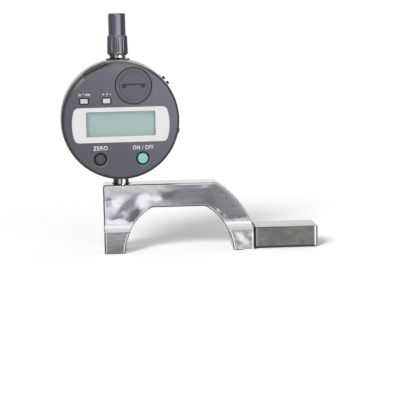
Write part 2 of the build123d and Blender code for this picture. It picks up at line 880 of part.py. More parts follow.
with BuildPart() as scale_strip:
    with BuildSketch(dial.offset(scale_back)):
        with Locations((scale_at, scale_rise)):
            Rectangle(scale_width, scale_length)
    extrude(amount=scale_thickness)
finish(scale_strip, "scale_strip")

with BuildPart() as guide_pin:
    with BuildSketch(pin_plane.offset(-guide_pin_seat)):
        Circle(guide_pin_radius)
    extrude(amount=guide_pin_seat + guide_pin_reach)
finish(guide_pin, "guide_pin")

with BuildPart() as guide_rail:
    with BuildSketch(level(dial_height - spindle_drop - guide_rail_end)):
        with Locations((rail_left, -rail_front)):
            Rectangle(rail_width, rail_front - floor_front, align=(Align.MIN, Align.MIN))
        with Locations((rail_left, 0)):
            Rectangle(
                rail_width - guide_rail_wall,
                2 * (guide_pin_radius + key_gap),
                align=(Align.MIN, Align.CENTER),
                mode=Mode.SUBTRACT,
            )
    extrude(amount=spindle_drop + spindle_rise + 2 * guide_rail_end)
finish(guide_rail, "guide_rail")

with BuildPart() as detector_board:
    with BuildSketch(dial.offset(detector_back)):
        with Locations((detector_post_at + detector_width / 2 - detector_post_radius, 0)):
            Rectangle(detector_width, detector_height)
    extrude(amount=detector_thickness)
finish(detector_board, "detector_board")

# Spring that presses the spindle down, between the carriage and the neck's boss
spring_bottom = carriage_top + spring_wire + loose_gap
spring_top = dial_height + boss_inner - spring_wire - loose_gap
spring_radius = spindle_radius + spring_clearance + spring_wire
with BuildPart() as return_spring:
    with BuildLine(level(spring_bottom)) as coil:
        Helix(spring_pitch, spring_top - spring_bottom, spring_radius)
    with BuildSketch(Plane(origin=coil.line @ 0, z_dir=coil.line % 0)):
        RegularPolygon(spring_wire, spring_sides)
    sweep(path=coil.line, is_frenet=True)
finish(return_spring, "return_spring")

# Data socket in the rim and the rubber plug that closes it
with BuildPart() as data_socket:
    with BuildSketch(rim_plane(socket_angle, case_radius - socket_inset)):
        Rectangle(socket_height - 2 * seat_gap, socket_width - 2 * seat_gap)
    extrude(amount=-socket_depth)
    with BuildSketch(rim_plane(socket_angle, case_radius - socket_inset)):
        Rectangle(socket_height - 2 * socket_wall, socket_width - 2 * socket_wall)
    extrude(amount=-socket_depth + socket_wall, mode=Mode.SUBTRACT)
finish(data_socket, "data_socket")

with BuildPart() as socket_plug:
    with BuildSketch(rim_plane(socket_angle, case_radius - socket_inset)):
        Rectangle(socket_height - 2 * seat_gap, socket_width - 2 * seat_gap)
    extrude(amount=socket_inset)
    with BuildSketch(rim_plane(socket_angle, case_radius - socket_inset)):
        Rectangle(plug_height, plug_width)
    extrude(amount=-plug_depth)
    with BuildSketch(rim_plane(socket_angle, case_radius)):
        with GridLocations(1, socket_rib_spread, 1, 2):
            Rectangle(socket_height - 2 * seat_gap, socket_rib_width)
    extrude(amount=socket_rib_height)
finish(socket_plug, "socket_plug")
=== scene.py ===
# %% [markdown]
# A digital recess depth gauge: a round digital indicator stands on one leg of a polished steel
# arch, and a ground bar on the other leg is the handle. The solids come from the CAD model, in
# metres and already in place. This script gives them their finishes, adds what is printed on
# them or is too fine for the solids, and sets a plain studio round them.

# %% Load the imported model
import json
import math

import bmesh
import bpy
from mathutils import Matrix, Vector


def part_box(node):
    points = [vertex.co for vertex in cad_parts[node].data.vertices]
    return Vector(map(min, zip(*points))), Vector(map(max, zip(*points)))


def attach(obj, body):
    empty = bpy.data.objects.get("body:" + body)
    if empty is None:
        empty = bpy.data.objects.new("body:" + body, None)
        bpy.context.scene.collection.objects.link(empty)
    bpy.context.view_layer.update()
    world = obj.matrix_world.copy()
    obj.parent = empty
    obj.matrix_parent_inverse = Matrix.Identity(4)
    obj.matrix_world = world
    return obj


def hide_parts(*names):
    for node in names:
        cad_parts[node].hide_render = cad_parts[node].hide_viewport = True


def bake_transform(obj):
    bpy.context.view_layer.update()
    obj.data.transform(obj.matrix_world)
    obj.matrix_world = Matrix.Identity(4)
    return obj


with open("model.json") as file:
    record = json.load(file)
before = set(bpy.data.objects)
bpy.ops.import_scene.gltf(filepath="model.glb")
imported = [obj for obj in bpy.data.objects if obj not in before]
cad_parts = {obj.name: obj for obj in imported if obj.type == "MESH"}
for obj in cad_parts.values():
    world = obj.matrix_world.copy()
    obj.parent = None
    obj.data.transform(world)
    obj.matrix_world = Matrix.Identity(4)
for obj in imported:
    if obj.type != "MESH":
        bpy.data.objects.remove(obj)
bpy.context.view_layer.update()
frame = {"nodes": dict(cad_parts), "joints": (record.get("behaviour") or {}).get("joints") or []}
scene = bpy.context.scene
nodes = frame["nodes"]
joints = {joint["name"]: joint for joint in frame["joints"]}
MM = 0.001

# %% [markdown]
# Everything on the dial is laid out from the dial's own centre, across, up and out of its face.
# The battery cover turns about a line square to the face, so its joint says which way the dial
# looks, and the round case and its cover give the centre and the height of the face. Measuring
# them keeps the finishes in place when the CAD model changes.

# %% Directions and the dial's own axes
RIGHT = (1, 0, 0)
LEFT = (-1, 0, 0)
BACK = (0, 1, 0)
UP = (0, 0, 1)
DOWN = (0, 0, -1)

stem_x = joints["indicator_turn"]["pos_m"][0]
dial_out = Vector(joints["battery_cover_turn"]["axis"]).normalized()
dial_across = Vector((-dial_out.y, dial_out.x, 0))
case_low, case_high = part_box("rear_case")
dial_centre = Vector((stem_x, 0, (case_low.z + case_high.z) / 2))
face_out = max((Vector(v.co) - dial_centre).dot(dial_out) for v in nodes["front_cover"].data.vertices)
face_centre = dial_centre + dial_out * face_out
print("dial centre", [round(c / MM, 2) for c in dial_centre], "face stands out", round(face_out / MM, 2))

# %% [markdown]
# The camera stands where the photograph was taken from: a little above the dial, 0.6 m away and
# to the left of the arch's middle. Its focal length was fitted together with its place, in pixels
# of a 400 pixel frame, and a 36 mm sensor turns that into a lens.

# %% Camera
PHOTO_PIXELS = 400
FOCAL_PIXELS = 1176.5
SENSOR_WIDTH = 36.0
CAMERA_PLACE = Vector((-0.03279, -0.59901, 0.13587))
CAMERA_YAW = 0.073795
CAMERA_PITCH = 0.182042
CAMERA_ROLL = -0.015111

camera_data = bpy.data.cameras.new("camera")
camera_data.sensor_width = SENSOR_WIDTH
camera_data.lens = SENSOR_WIDTH * FOCAL_PIXELS / PHOTO_PIXELS
camera = bpy.data.objects.new("camera", camera_data)
scene.collection.objects.link(camera)
camera.matrix_world = (
    Matrix.Translation(CAMERA_PLACE)
    @ Matrix.Rotation(-CAMERA_YAW, 4, "Z")
    @ Matrix.Rotation(math.pi / 2 - CAMERA_PITCH, 4, "X")
    @ Matrix.Rotation(CAMERA_ROLL, 4, "Z")
)
scene.camera = camera
print("lens", round(camera_data.lens, 1), "mm")

# %% [markdown]
# A material is a network of nodes, and long networks are hard to read as code. So a socket is
# wrapped in a small class whose operators add Math nodes: an expression such as 1 - mask * 0.5
# builds the nodes that work it out.

# %% Arithmetic on sockets


class Socket:
    """An output of a node, with the operators of ordinary arithmetic."""

    def __init__(self, finish, socket):
        self.finish = finish
        self.socket = socket

    def maths(self, operation, *values):
        return self.finish.node("ShaderNodeMath", {"operation": operation}, dict(enumerate(values)))

    def __add__(self, other):
        return self.maths("ADD", self, other)

    def __sub__(self, other):
        return self.maths("SUBTRACT", self, other)

    def __rsub__(self, other):
        return self.maths("SUBTRACT", other, self)

    def __mul__(self, other):
        return self.maths("MULTIPLY", self, other)

    def __truediv__(self, other):
        return self.maths("DIVIDE", self, other)

    def __pow__(self, other):
        return self.maths("POWER", self, other)

    def __gt__(self, other):
        return self.maths("GREATER_THAN", self, other)

    def __lt__(self, other):
        return self.maths("LESS_THAN", self, other)

    __radd__ = __add__
    __rmul__ = __mul__

    def size(self):
        return self.maths("ABSOLUTE", self)

    def smaller(self, other):
        return self.maths("MINIMUM", self, other)

    def larger(self, other):
        return self.maths("MAXIMUM", self, other)


def straight(first, second):
    """Straight distance, from two distances that are square to each other."""
    return (first * first + second * second) ** 0.5


# %% [markdown]
# Finish holds one material and has one method for any node that isn't plain arithmetic. Colours
# go through Mix nodes, because a Math node would turn them grey. All places are in millimetres,
# since the marks on these pieces are that small, and a CAD piece's own coordinates are the
# gauge's, so one place means the same on every piece.

# %% One material and its words


class Finish:
    """One material: its node tree, its main shader and the words that build it."""

    def __init__(self, name, metallic=0.0, roughness=0.5, **constants):
        self.material = bpy.data.materials.new(name)
        self.material.use_nodes = True
        self.tree = self.material.node_tree
        self.shader = self.tree.nodes["Principled BSDF"]
        self.shader.inputs["Metallic"].default_value = metallic
        self.shader.inputs["Roughness"].default_value = roughness
        for label, value in constants.items():
            self.shader.inputs[label.replace("_", " ")].default_value = value
        place = self.node("ShaderNodeTexCoord", output="Object")
        self.place = self.node(
            "ShaderNodeVectorMath", {"operation": "SCALE"}, {0: place, "Scale": 1 / MM}
        )
        self.normal = self.node("ShaderNodeTexCoord", output="Normal")

    def node(self, kind, settings=None, sockets=None, output=0):
        """Add a node, set its own settings first and then its sockets, and give one output."""
        made = self.tree.nodes.new(kind)
        for label, value in (settings or {}).items():
            if label == "stops":
                self.set_stops(made.color_ramp, value)
            else:
                setattr(made, label, value)
        for label, value in (sockets or {}).items():
            self.feed(made.inputs[label], value)
        return Socket(self, made.outputs[output])

    def set_stops(self, ramp, stops):
        while len(ramp.elements) < len(stops):
            ramp.elements.new(1.0)
        for element, (at, colour) in zip(ramp.elements, stops):
            element.position = at
            element.color = (*colour, 1.0)

    def feed(self, socket, value):
        if isinstance(value, Socket):
            self.tree.links.new(value.socket, socket)
        elif socket.type == "RGBA":
            socket.default_value = (*value, 1.0)
        else:
            socket.default_value = value

    def paint(self, **sockets):
        """Link or set the main shader's sockets, with _ for each space in their names."""
        for label, value in sockets.items():
            self.feed(self.shader.inputs[label.replace("_", " ")], value)

    def along(self, direction, origin=(0.0, 0.0, 0.0)):
        """Millimetres from an origin along a direction."""
        start = Vector(origin) / MM
        offset = self.node("ShaderNodeVectorMath", {"operation": "SUBTRACT"}, {0: self.place, 1: start})
        return self.dot(offset, direction)

    def on_dial(self, centre):
        """Millimetres from a centre, across the dial and up it."""
        return self.along(dial_across, centre), self.along(UP, centre)

    def dot(self, vector, direction):
        return self.node(
            "ShaderNodeVectorMath", {"operation": "DOT_PRODUCT"}, {0: vector, 1: direction}, "Value"
        )

    def facing(self, direction):
        """How much the surface faces a direction, from -1 to 1."""
        return self.dot(self.normal, direction)

    def step(self, value, low, high):
        """0 below low, 1 above high and smooth between them."""
        return self.node(
            "ShaderNodeMapRange",
            {"interpolation_type": "SMOOTHSTEP"},
            {"Value": value, "From Min": low, "From Max": high},
        )

    def band(self, value, rise, fall):
        """1 in a band that begins with a smooth rise and ends with a smooth fall."""
        return self.step(value, *rise) * (1 - self.step(value, *fall))

    def noise(self, size, stretch=(1.0, 1.0, 1.0), detail=3.0, roughness=0.5, distortion=0.0, slant=0.0):
        """Cloudy values round 0.5, with lumps of about a size in millimetres, slanted by degrees."""
        place = self.place
        if slant:
            place = self.node(
                "ShaderNodeVectorRotate",
                {"rotation_type": "Y_AXIS"},
                {0: place, "Angle": math.radians(slant)},
            )
        scale = tuple(1 / (size * side) for side in stretch)
        place = self.node("ShaderNodeVectorMath", {"operation": "MULTIPLY"}, {0: place, 1: scale})
        looks = {"Scale": 1.0, "Detail": detail, "Roughness": roughness, "Distortion": distortion}
        return self.node("ShaderNodeTexNoise", {}, {"Vector": place, **looks})

    def ramp(self, value, stops):
        return self.node("ShaderNodeValToRGB", {"stops": stops}, {"Fac": value}, "Color")

    def mix(self, factor, first, second):
        """The first colour where the factor is 0 and the second where it is 1."""
        return self.node("ShaderNodeMix", {"data_type": "RGBA"}, {0: factor, 6: first, 7: second}, 2)

    def shade(self, colour, value):
        """A colour made lighter or darker by a value round 1."""
        return self.node("ShaderNodeVectorMath", {"operation": "SCALE"}, {0: colour, "Scale": value})

    def bump(self, height, millimetres, strength):
        """Make the surface look raised where a height from 0 to 1 says, by millimetres at most."""
        raised = self.node(
            "ShaderNodeBump", {}, {"Height": height, "Distance": millimetres * MM, "Strength": strength}
        )
        self.paint(Normal=raised)


def put_on(finish, *names):
    """Give CAD nodes a finish."""
    for name in names:
        data = nodes[name].data
        data.materials.clear()
        data.materials.append(finish.material)
    print(finish.material.name, "on", ", ".join(names))


# %% [markdown]
# The studio is a pale floor, a white world and soft sunlight. The floor is one flat sheet, so
# wide that no edge of it shows. It looks white to the camera and in reflections, but lights the
# gauge at a plain level, so that a colour shows about as it is written. A Light Path node tells
# those rays apart.

# %% Floor
FLOOR_SIDE = 40.0
FLOOR_DROP = 0.02 * MM
FLOOR_TONE = 0.80
FLOOR_SHOWN = 1.16


def make_floor():
    mesh = bpy.data.meshes.new("floor")
    build = bmesh.new()
    bmesh.ops.create_grid(build, x_segments=4, y_segments=4, size=FLOOR_SIDE / 2)
    build.to_mesh(mesh)
    build.free()
    made = bpy.data.objects.new("floor", mesh)
    made.location.z = -FLOOR_DROP
    scene.collection.objects.link(made)
    return made


def on_rays(finish, *kinds):
    """1 for rays of any of the kinds named, such as Camera, and 0 for other rays."""
    seen = [finish.node("ShaderNodeLightPath", output=f"Is {kind} Ray") for kind in kinds]
    either = seen[0]
    for one in seen[1:]:
        either = either.larger(one)
    return either


floor = make_floor()
floor_finish = Finish("studio_floor", roughness=0.9)
floor_shown = on_rays(floor_finish, "Camera", "Glossy", "Transmission")
floor_tone = floor_finish.mix(floor_shown, (FLOOR_TONE,) * 3, (FLOOR_SHOWN,) * 3)
matt = floor_finish.node("ShaderNodeBsdfDiffuse", {}, {"Color": floor_tone}, "BSDF")
floor_finish.tree.links.new(matt.socket, floor_finish.tree.nodes["Material Output"].inputs["Surface"])
floor.data.materials.append(floor_finish.material)
print("floor", FLOOR_SIDE, "m wide, tone", FLOOR_TONE)

# %% [markdown]
# Polished metal and glossy plastic need something darker to reflect, as in a real room. A
# picture of a room could do that, but a few smooth steps by direction are enough, and each can
# be set by itself: in reflections the world is white behind the gauge, grey on the camera's side
# and darker overhead and to the sides.

# %% World
WORLD_LIGHT = 0.45
MIRRORED_FRONT = 0.72
MIRRORED_BACK_MORE = 0.28
MIRRORED_SIDE_LESS = 0.4
MIRRORED_TOP_LESS = 0.1

world = bpy.data.worlds.new("studio")
scene.world = world
world.use_nodes = True


class Surroundings(Finish):
    """The world's node tree, with the same words as a material's."""

    def __init__(self, world):
        self.tree = world.node_tree
        self.shader = self.tree.nodes["Background"]


room = Surroundings(world)
direction = room.node("ShaderNodeTexCoord", output="Generated")
behind = room.step(room.dot(direction, BACK), -0.1, 0.6)
side = room.step(room.dot(direction, RIGHT).size(), 0.35, 0.8)
overhead = room.step(room.dot(direction, UP), 0.35, 0.9)
mirror_light = MIRRORED_FRONT + MIRRORED_BACK_MORE * behind
mirror_light = mirror_light * (1 - MIRRORED_SIDE_LESS * side) * (1 - MIRRORED_TOP_LESS * overhead)
mirrored = on_rays(room, "Glossy")
plain_light = mirrored * mirror_light + (1 - mirrored) * WORLD_LIGHT
room_shown = on_rays(room, "Camera", "Transmission")
room.paint(Strength=room_shown + (1 - room_shown) * plain_light, Color=(1.0, 1.0, 1.0))
print("world light", WORLD_LIGHT)

# %% [markdown]
# Sunlight is the same all over the floor, so the floor keeps one white with only the gauge's
# shadow on it. A wide sun from the upper left softens that shadow's edge, and a weaker one from
# the right lifts the dark side. A strip lamp that matt surfaces don't see adds a highlight to
# metal and plastic.

# %% Lamps
KEY_FROM = Vector((-0.50, -0.62, 0.62))
FILL_FROM = Vector((0.35, -0.90, 0.35))
STRIP_PLACE = Vector((0.40, -0.80, 0.24))
STRIP_AIM = Vector((0.0, 0.0, 0.06))


def add_lamp(data, towards):
    """Add a lamp that shines along a direction."""
    made = bpy.data.objects.new(data.name, data)
    made.rotation_euler = towards.to_track_quat("-Z", "Y").to_euler()
    scene.collection.objects.link(made)
    print(data.name, round(data.energy, 2))
    return made


def make_sun(name, place, strength, spread):
    """Soft sunlight from a direction, spread over an angle in degrees."""
    data = bpy.data.lights.new(name, "SUN")
    data.energy = strength
    data.angle = math.radians(spread)
    add_lamp(data, -place)


def make_strip(name, place, width, height, watts):
    """A strip lamp that looks at the gauge and is meant for its highlights."""
    data = bpy.data.lights.new(name, "AREA")
    data.shape = "RECTANGLE"
    data.size = width
    data.size_y = height
    data.energy = watts
    made = add_lamp(data, STRIP_AIM - place)
    made.location = place
    made.visible_diffuse = False


make_sun("key_sun", KEY_FROM, strength=2.0, spread=22.0)
make_sun("fill_sun", FILL_FROM, strength=0.35, spread=50.0)
make_strip("highlight_strip", STRIP_PLACE, width=0.24, height=0.44, watts=8.5)
scene.view_settings.view_transform = "Standard"

# %% [markdown]
# The arch is the showpiece: a plate polished like a mirror, feet ground flat, and bevelled edges.
# A mirror needs a room to reflect, and here the room is plain, so the soft clouds that polished
# steel shows are painted into its colour as painted reflections. Each cloud is an ellipse with a
# soft edge, placed in millimetres on the plate. The table gives its tone, centre, radii, slant in
# degrees and softness.

# %% Tones of the painted reflections on polished steel
PALE = (0.80, 0.80, 0.86)
LAVENDER = (0.57, 0.575, 0.635)
MIDDLE = (0.42, 0.43, 0.46)
GREENISH = (0.53, 0.55, 0.53)
VIOLET = (0.24, 0.248, 0.295)
SLATE = (0.185, 0.19, 0.225)
GREY = (0.205, 0.207, 0.225)
DEEP = (0.135, 0.138, 0.165)

PAINTED_REFLECTIONS = (
    (LAVENDER, (-34.0, 19.5), (7.0, 5.5), 0, 0.8),
    (GREENISH, (-20.0, 33.4), (18.0, 2.5), -2, 0.5),
    (LAVENDER, (-36.0, 32.0), (1.6, 3.0), 0, 0.7),
    (PALE, (-32.5, 26.0), (5.2, 3.2), 20, 0.7),
    (VIOLET, (-35.2, 28.2), (2.4, 1.0), 0, 0.7),
    (MIDDLE, (-34.9, 25.4), (1.5, 1.6), 0, 0.8),
    (VIOLET, (-26.6, 23.6), (10.6, 2.6), 42, 0.5),
    (DEEP, (-23.0, 18.4), (6.0, 2.6), 50, 0.45),
    (LAVENDER, (-28.8, 19.8), (1.9, 1.1), 10, 0.8),
    (VIOLET, (-30.8, 18.7), (2.6, 0.9), 0, 0.7),
    (PALE, (-33.8, 16.2), (5.6, 1.3), 0, 0.5),
    (PALE, (-28.0, 15.2), (4.0, 0.8), 0, 0.8),
    (PALE, (-17.2, 26.4), (4.4, 4.2), 10, 0.45),
    (PALE, (-10.6, 27.8), (2.6, 2.6), 0, 0.6),
    (MIDDLE, (-7.0, 25.0), (7.0, 1.4), 0, 0.7),
    (GREY, (1.0, 29.8), (10.5, 2.2), 2, 0.6),
    (DEEP, (-4.5, 29.6), (3.5, 1.4), 10, 0.8),
    (VIOLET, (10.0, 33.6), (12.0, 1.0), 0, 0.7),
    (VIOLET, (2.0, 25.9), (7.0, 1.2), 3, 0.8),
    (LAVENDER, (14.0, 33.0), (3.0, 0.8), -8, 0.8),
    (DEEP, (16.5, 26.0), (4.5, 2.2), -35, 0.8),
    (GREY, (24.5, 26.0), (11.0, 4.6), -42, 0.9),
    (VIOLET, (29.5, 24.6), (9.0, 1.6), -55, 0.8),
    (LAVENDER, (19.4, 21.0), (1.3, 0.6), -50, 0.8),
    (MIDDLE, (22.8, 17.4), (1.4, 0.7), -60, 0.8),
    (SLATE, (31.0, 18.0), (5.0, 1.2), -10, 0.8),
    (MIDDLE, (24.5, 15.0), (2.0, 1.0), 0, 0.8),
    (GREENISH, (31.5, 15.2), (5.0, 1.0), 0, 0.6),
)


def cloud(finish, across, up, centre, radii, angle, soft):
    """A soft ellipse on the plate: centre and radii in millimetres, angle in degrees."""
    turn = math.radians(angle)
    x = across - centre[0]
    z = up - centre[1]
    long_way = x * (math.cos(turn) / radii[0]) + z * (math.sin(turn) / radii[0])
    short_way = z * (math.cos(turn) / radii[1]) - x * (math.sin(turn) / radii[1])
    return 1 - finish.step(straight(long_way, short_way), 1 - soft, 1 + soft)


# %% [markdown]
# A noise bends the clouds' edges, so that no ellipse shows, and under them a painted reflection
# makes the plate pale on the left and slate on the right. Fine streaks from the polishing wheel
# cross it all, and the round shoulder is speckled.

# %% Painted reflections on the plate
DRIFT_ACROSS = 8
DRIFT_UP = 5
STREAK_SLANT = -20

polished = Finish("polished_steel", metallic=1.0)
across = polished.along(RIGHT)
up = polished.along(UP)
drift_across = polished.noise(8.0, detail=4.0, distortion=0.5) - 0.5
drift_up = polished.noise(6.0, (1.3, 1.0, 1.0), detail=4.0, distortion=0.5) - 0.5
cloud_x = across + drift_across * DRIFT_ACROSS
cloud_z = up + drift_up * DRIFT_UP
# Painted reflections: pale on the left, slate on the right, and the clouds over them.
plate = polished.mix(polished.step(cloud_x, -11.0, -6.0), MIDDLE, SLATE)
for tone, centre, radii, angle, soft in PAINTED_REFLECTIONS:
    plate = polished.mix(cloud(polished, cloud_x, cloud_z, centre, radii, angle, soft), plate, tone)
streaks = polished.noise(0.9, (9.0, 1.0, 1.0), detail=4.0, slant=STREAK_SLANT)
speckle = polished.noise(0.9, detail=4.0, roughness=0.6)
on_shoulder = polished.step(across, 6.0, 18.0)
marks = 0.66 + streaks * 0.40 + on_shoulder * (speckle - 0.5) * 1.2 + speckle * 0.28
plate = polished.shade(plate, marks)
print("clouds on the plate", len(PAINTED_REFLECTIONS))

# %% [markdown]
# The feet were ground after polishing. The left one keeps level grinding marks and is painted
# darker towards its bottom, and the right one has a mottled, brighter look with a painted highlight
# across it. Between a foot and the plate the blend's round surface squeezes the whole room into a
# few pale and grey lines. A ramp up the blend draws them as painted reflections, because a plain
# studio has nothing there to squeeze.

# %% Feet and blends
FOOT_TOP = 11.2
BLEND_TOP = 14.7
LEFT_FOOT_LOW = (0.175, 0.172, 0.175)
LEFT_FOOT_HIGH = (0.265, 0.263, 0.28)
RIGHT_FOOT_TONES = (
    (0.32, (0.17, 0.17, 0.18)),
    (0.50, (0.275, 0.275, 0.285)),
    (0.68, (0.43, 0.43, 0.45)),
)
SHINE = ((32.5, 5.8), (4.6, 1.5), -42, 0.7)
SHINE_TONE = (0.66, 0.66, 0.69)
BLEND_TONES = (
    (0.0, (0.60, 0.60, 0.60)),
    (0.10, (0.66, 0.66, 0.66)),
    (0.22, (0.62, 0.62, 0.62)),
    (0.34, (0.80, 0.80, 0.80)),
    (0.46, (0.42, 0.42, 0.43)),
    (0.56, (0.70, 0.71, 0.70)),
    (0.70, (0.74, 0.75, 0.74)),
    (0.76, (0.34, 0.34, 0.37)),
    (0.82, (0.58, 0.58, 0.61)),
    (0.90, (0.80, 0.80, 0.82)),
    (0.96, (0.46, 0.46, 0.50)),
    (1.0, (0.62, 0.63, 0.66)),
)

grain = polished.noise(0.7, (12.0, 12.0, 1.0), detail=4.0)
# The left foot is painted darker towards its bottom.
left_foot = polished.mix(polished.step(up, 1.0, 9.0), LEFT_FOOT_LOW, LEFT_FOOT_HIGH)
left_foot = polished.shade(left_foot, 0.5 + grain)
mottle = polished.noise(3.4, (1.0, 1.0, 0.8), detail=4.0, distortion=0.8)
right_foot = polished.ramp(mottle, RIGHT_FOOT_TONES)
# A painted highlight lies diagonally across the right foot.
shine = cloud(polished, across, up, *SHINE)
right_foot = polished.mix(shine * (0.5 + mottle * 0.7), right_foot, SHINE_TONE)
on_right = across > 0.0
feet = polished.mix(on_right, left_foot, right_foot)
# Painted reflections up the blend, a little darker on the right.
blend_lines = polished.ramp(polished.step(up, FOOT_TOP - 0.3, BLEND_TOP), BLEND_TONES)
blend_lines = polished.shade(blend_lines, 1 - 0.17 * on_right * polished.step(up, 12.4, 13.2))
above_feet = polished.mix(polished.step(up, BLEND_TOP - 0.4, BLEND_TOP + 0.8), blend_lines, plate)
front = polished.mix(up > FOOT_TOP, feet, above_feet)
print("feet up to", FOOT_TOP, "mm, blends up to", BLEND_TOP, "mm")

# %% [markdown]
# Marks along an edge need the distance to that edge. The arch's outline is made of lines and
# arcs, so the distance to each is a short expression, and the smallest of them is the distance
# to the nearest edge. The opening is an arc with a flat top, and the right shoulder is an arc.

# %% Distances to the arch's edges
arch_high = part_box("arch_frame")[1]
ARCH_HALF = arch_high.x / MM
ARCH_TOP = arch_high.z / MM
OPENING_RADIUS = 28.0
OPENING_DROP = 1.3
OPENING_TOP = 23.1
SHOULDER_RADIUS = 45.0
SHOULDER_CENTRE = (-3.84, -3.36)

from_opening = (straight(across, up + OPENING_DROP) - OPENING_RADIUS).larger(up - OPENING_TOP)
shoulder_x = across.larger(0.0) - SHOULDER_CENTRE[0]
from_shoulder = SHOULDER_RADIUS - straight(shoulder_x, up - SHOULDER_CENTRE[1])
from_top = ARCH_TOP - up
from_left = across + ARCH_HALF
from_right = ARCH_HALF - across
from_outside = from_top.smaller(from_left).smaller(from_shoulder).smaller(from_right)
from_edge = from_opening.smaller(from_outside)
print("arch", round(2 * ARCH_HALF, 1), "mm wide and", round(ARCH_TOP, 1), "mm high")

# %% [markdown]
# Grinding leaves a narrow bevel on every edge, and the polishing wheel rounds the plate just
# inside it; a thin painted highlight line stands for the light on that rounding. The bevels carry
# painted light and shade: dark on the left, along the opening and on the left half of the top, and
# bright on the right half, round the shoulder and at the right foot's edge. One threshold on the
# distance gives the bevel and a narrow band of it the line.

# %% Painted light and shade on the bevels, and the painted highlight line beside them
EDGE_WIDTH = 0.38
EDGE_MORE_LEFT = 0.25
EDGE_MORE_OPENING = 0.12
EDGE_REACH = 1.4
EDGE_DARK = (0.06, 0.055, 0.05)
EDGE_BROWN = (0.10, 0.098, 0.088)
EDGE_PALE = (0.74, 0.75, 0.74)
EDGE_GREY = (0.22, 0.22, 0.215)
EDGE_RIGHT_FOOT_HIGHLIGHT = (0.40, 0.40, 0.41)
HIGHLIGHT_LINE_PALE = (0.80, 0.80, 0.82)
HIGHLIGHT_LINE_BROWN = (0.40, 0.375, 0.38)

pale_edge = polished.step(across, -6.0, 2.0) * (from_outside < from_opening)
by_opening_top = (up > OPENING_TOP - 0.4) * (from_opening < 1.6)
at_left = from_left < EDGE_REACH
edge_width = EDGE_WIDTH + EDGE_MORE_LEFT * at_left + EDGE_MORE_OPENING * by_opening_top
past_edge = from_edge - edge_width
dark_top = (from_top < EDGE_REACH) * (1 - pale_edge)
# A painted highlight line just inside each bevel, weaker along the dark top and the shoulder.
painted_highlight_line = polished.band(past_edge, (0.05, 0.2), (0.4, 0.7))
painted_highlight_line = painted_highlight_line * (0.8 - 0.5 * dark_top.larger(from_shoulder < EDGE_REACH))
painted_highlight_line = painted_highlight_line * (1 - 0.4 * (from_left < 2.0))
front = polished.mix(painted_highlight_line, front, polished.mix(by_opening_top, HIGHLIGHT_LINE_PALE, HIGHLIGHT_LINE_BROWN))
# Painted light and shade on the bevels themselves.
painted_bevel_tone = polished.mix(at_left, EDGE_DARK, EDGE_BROWN)
painted_bevel_tone = polished.mix(pale_edge, painted_bevel_tone, EDGE_PALE)
painted_bevel_tone = polished.mix((from_outside < 0.2) * pale_edge, painted_bevel_tone, EDGE_GREY)
painted_bevel_tone = polished.mix((from_right < 0.5) * (up < FOOT_TOP), painted_bevel_tone, EDGE_RIGHT_FOOT_HIGHLIGHT)
front = polished.mix(1 - polished.step(past_edge, 0.0, 0.12), front, painted_bevel_tone)
print("bevels look", EDGE_WIDTH, "mm wide,", round(EDGE_WIDTH + EDGE_MORE_LEFT, 2), "on the left")

# %% [markdown]
# The way the surface faces tells the plate's front and back from the sides, and bevels from both.
# The top is painted a pale green-grey as a reflection, darker towards its right, and the other
# sides are plainly ground. The feet's top bevels are painted as lit, grey on the left foot and
# pale on the right. A blend is painted as less metallic than the rest, or it would mirror the
# plate above it and turn dark.

# %% Sides of the arch
TOP_REFLECTION = (0.62, 0.65, 0.61)
TOP_REFLECTION_RIGHT = (0.40, 0.41, 0.40)
OTHER_SIDES = (0.46, 0.46, 0.48)
RIGHT_FOOT_BEVEL_LIGHT = (0.55, 0.55, 0.56)

flat = polished.facing(BACK).size()
facing_up = polished.facing(UP)
bevel = polished.band(flat, (0.1, 0.3), (0.86, 0.95))
is_blend = (up > FOOT_TOP - 0.1) * (up < BLEND_TOP + 0.2) * (facing_up > 0.05)
is_blend = is_blend * (polished.facing(RIGHT).size() < 0.3)
on_foot = up < FOOT_TOP
# Painted reflection on the top, darker towards its right.
top_reflection = polished.shade(TOP_REFLECTION, 0.85 + streaks * 0.3)
top_reflection = polished.mix(polished.step(across, 18.0, 22.0), top_reflection, TOP_REFLECTION_RIGHT)
other_sides = polished.shade(OTHER_SIDES, 0.7 + grain * 0.6)
sides = polished.mix(polished.step(facing_up, 0.2, 0.95), other_sides, top_reflection)
steel = polished.mix(flat > 0.9, sides, front)
steel = polished.mix(bevel * (1 - is_blend), steel, painted_bevel_tone)
steel = polished.mix(is_blend, steel, blend_lines)
# Painted light on the feet's top bevels.
foot_bevel = on_foot * (facing_up > 0.3) * bevel
steel = polished.mix(foot_bevel, steel, polished.mix(on_right, EDGE_GREY, RIGHT_FOOT_BEVEL_LIGHT))
polished.paint(
    Base_Color=steel,
    Metallic=1 - is_blend * 0.75,
    Roughness=0.14 + grain * 0.08 + on_foot * (0.14 + bevel * 0.2) + is_blend * 0.20,
)
polished.bump(grain, 0.003, 0.5)
put_on(polished, "arch_frame")

# %% [markdown]
# The handle bar is ground, not polished: its grain runs along the bar, and its front is a darker
# matt grey with faint stains from hands. Its pale top is painted light. On the front, painted
# shade darkens the lower edge and the upper edge near the joint, and painted highlight lines lie
# beside the joint and near the far end. A noise stretched twenty times along the bar gives the
# grain, and it also drives the roughness and the bump, so that all three agree.

# %% Front of the handle bar
BAR_FAR = (0.096, 0.094, 0.089)
BAR_NEAR = (0.104, 0.105, 0.107)
BAR_HIGHLIGHT = (0.24, 0.24, 0.24)
BAR_EDGE_SHADE = (0.022, 0.022, 0.028)
BAR_END_HIGHLIGHT = (0.62, 0.62, 0.61)

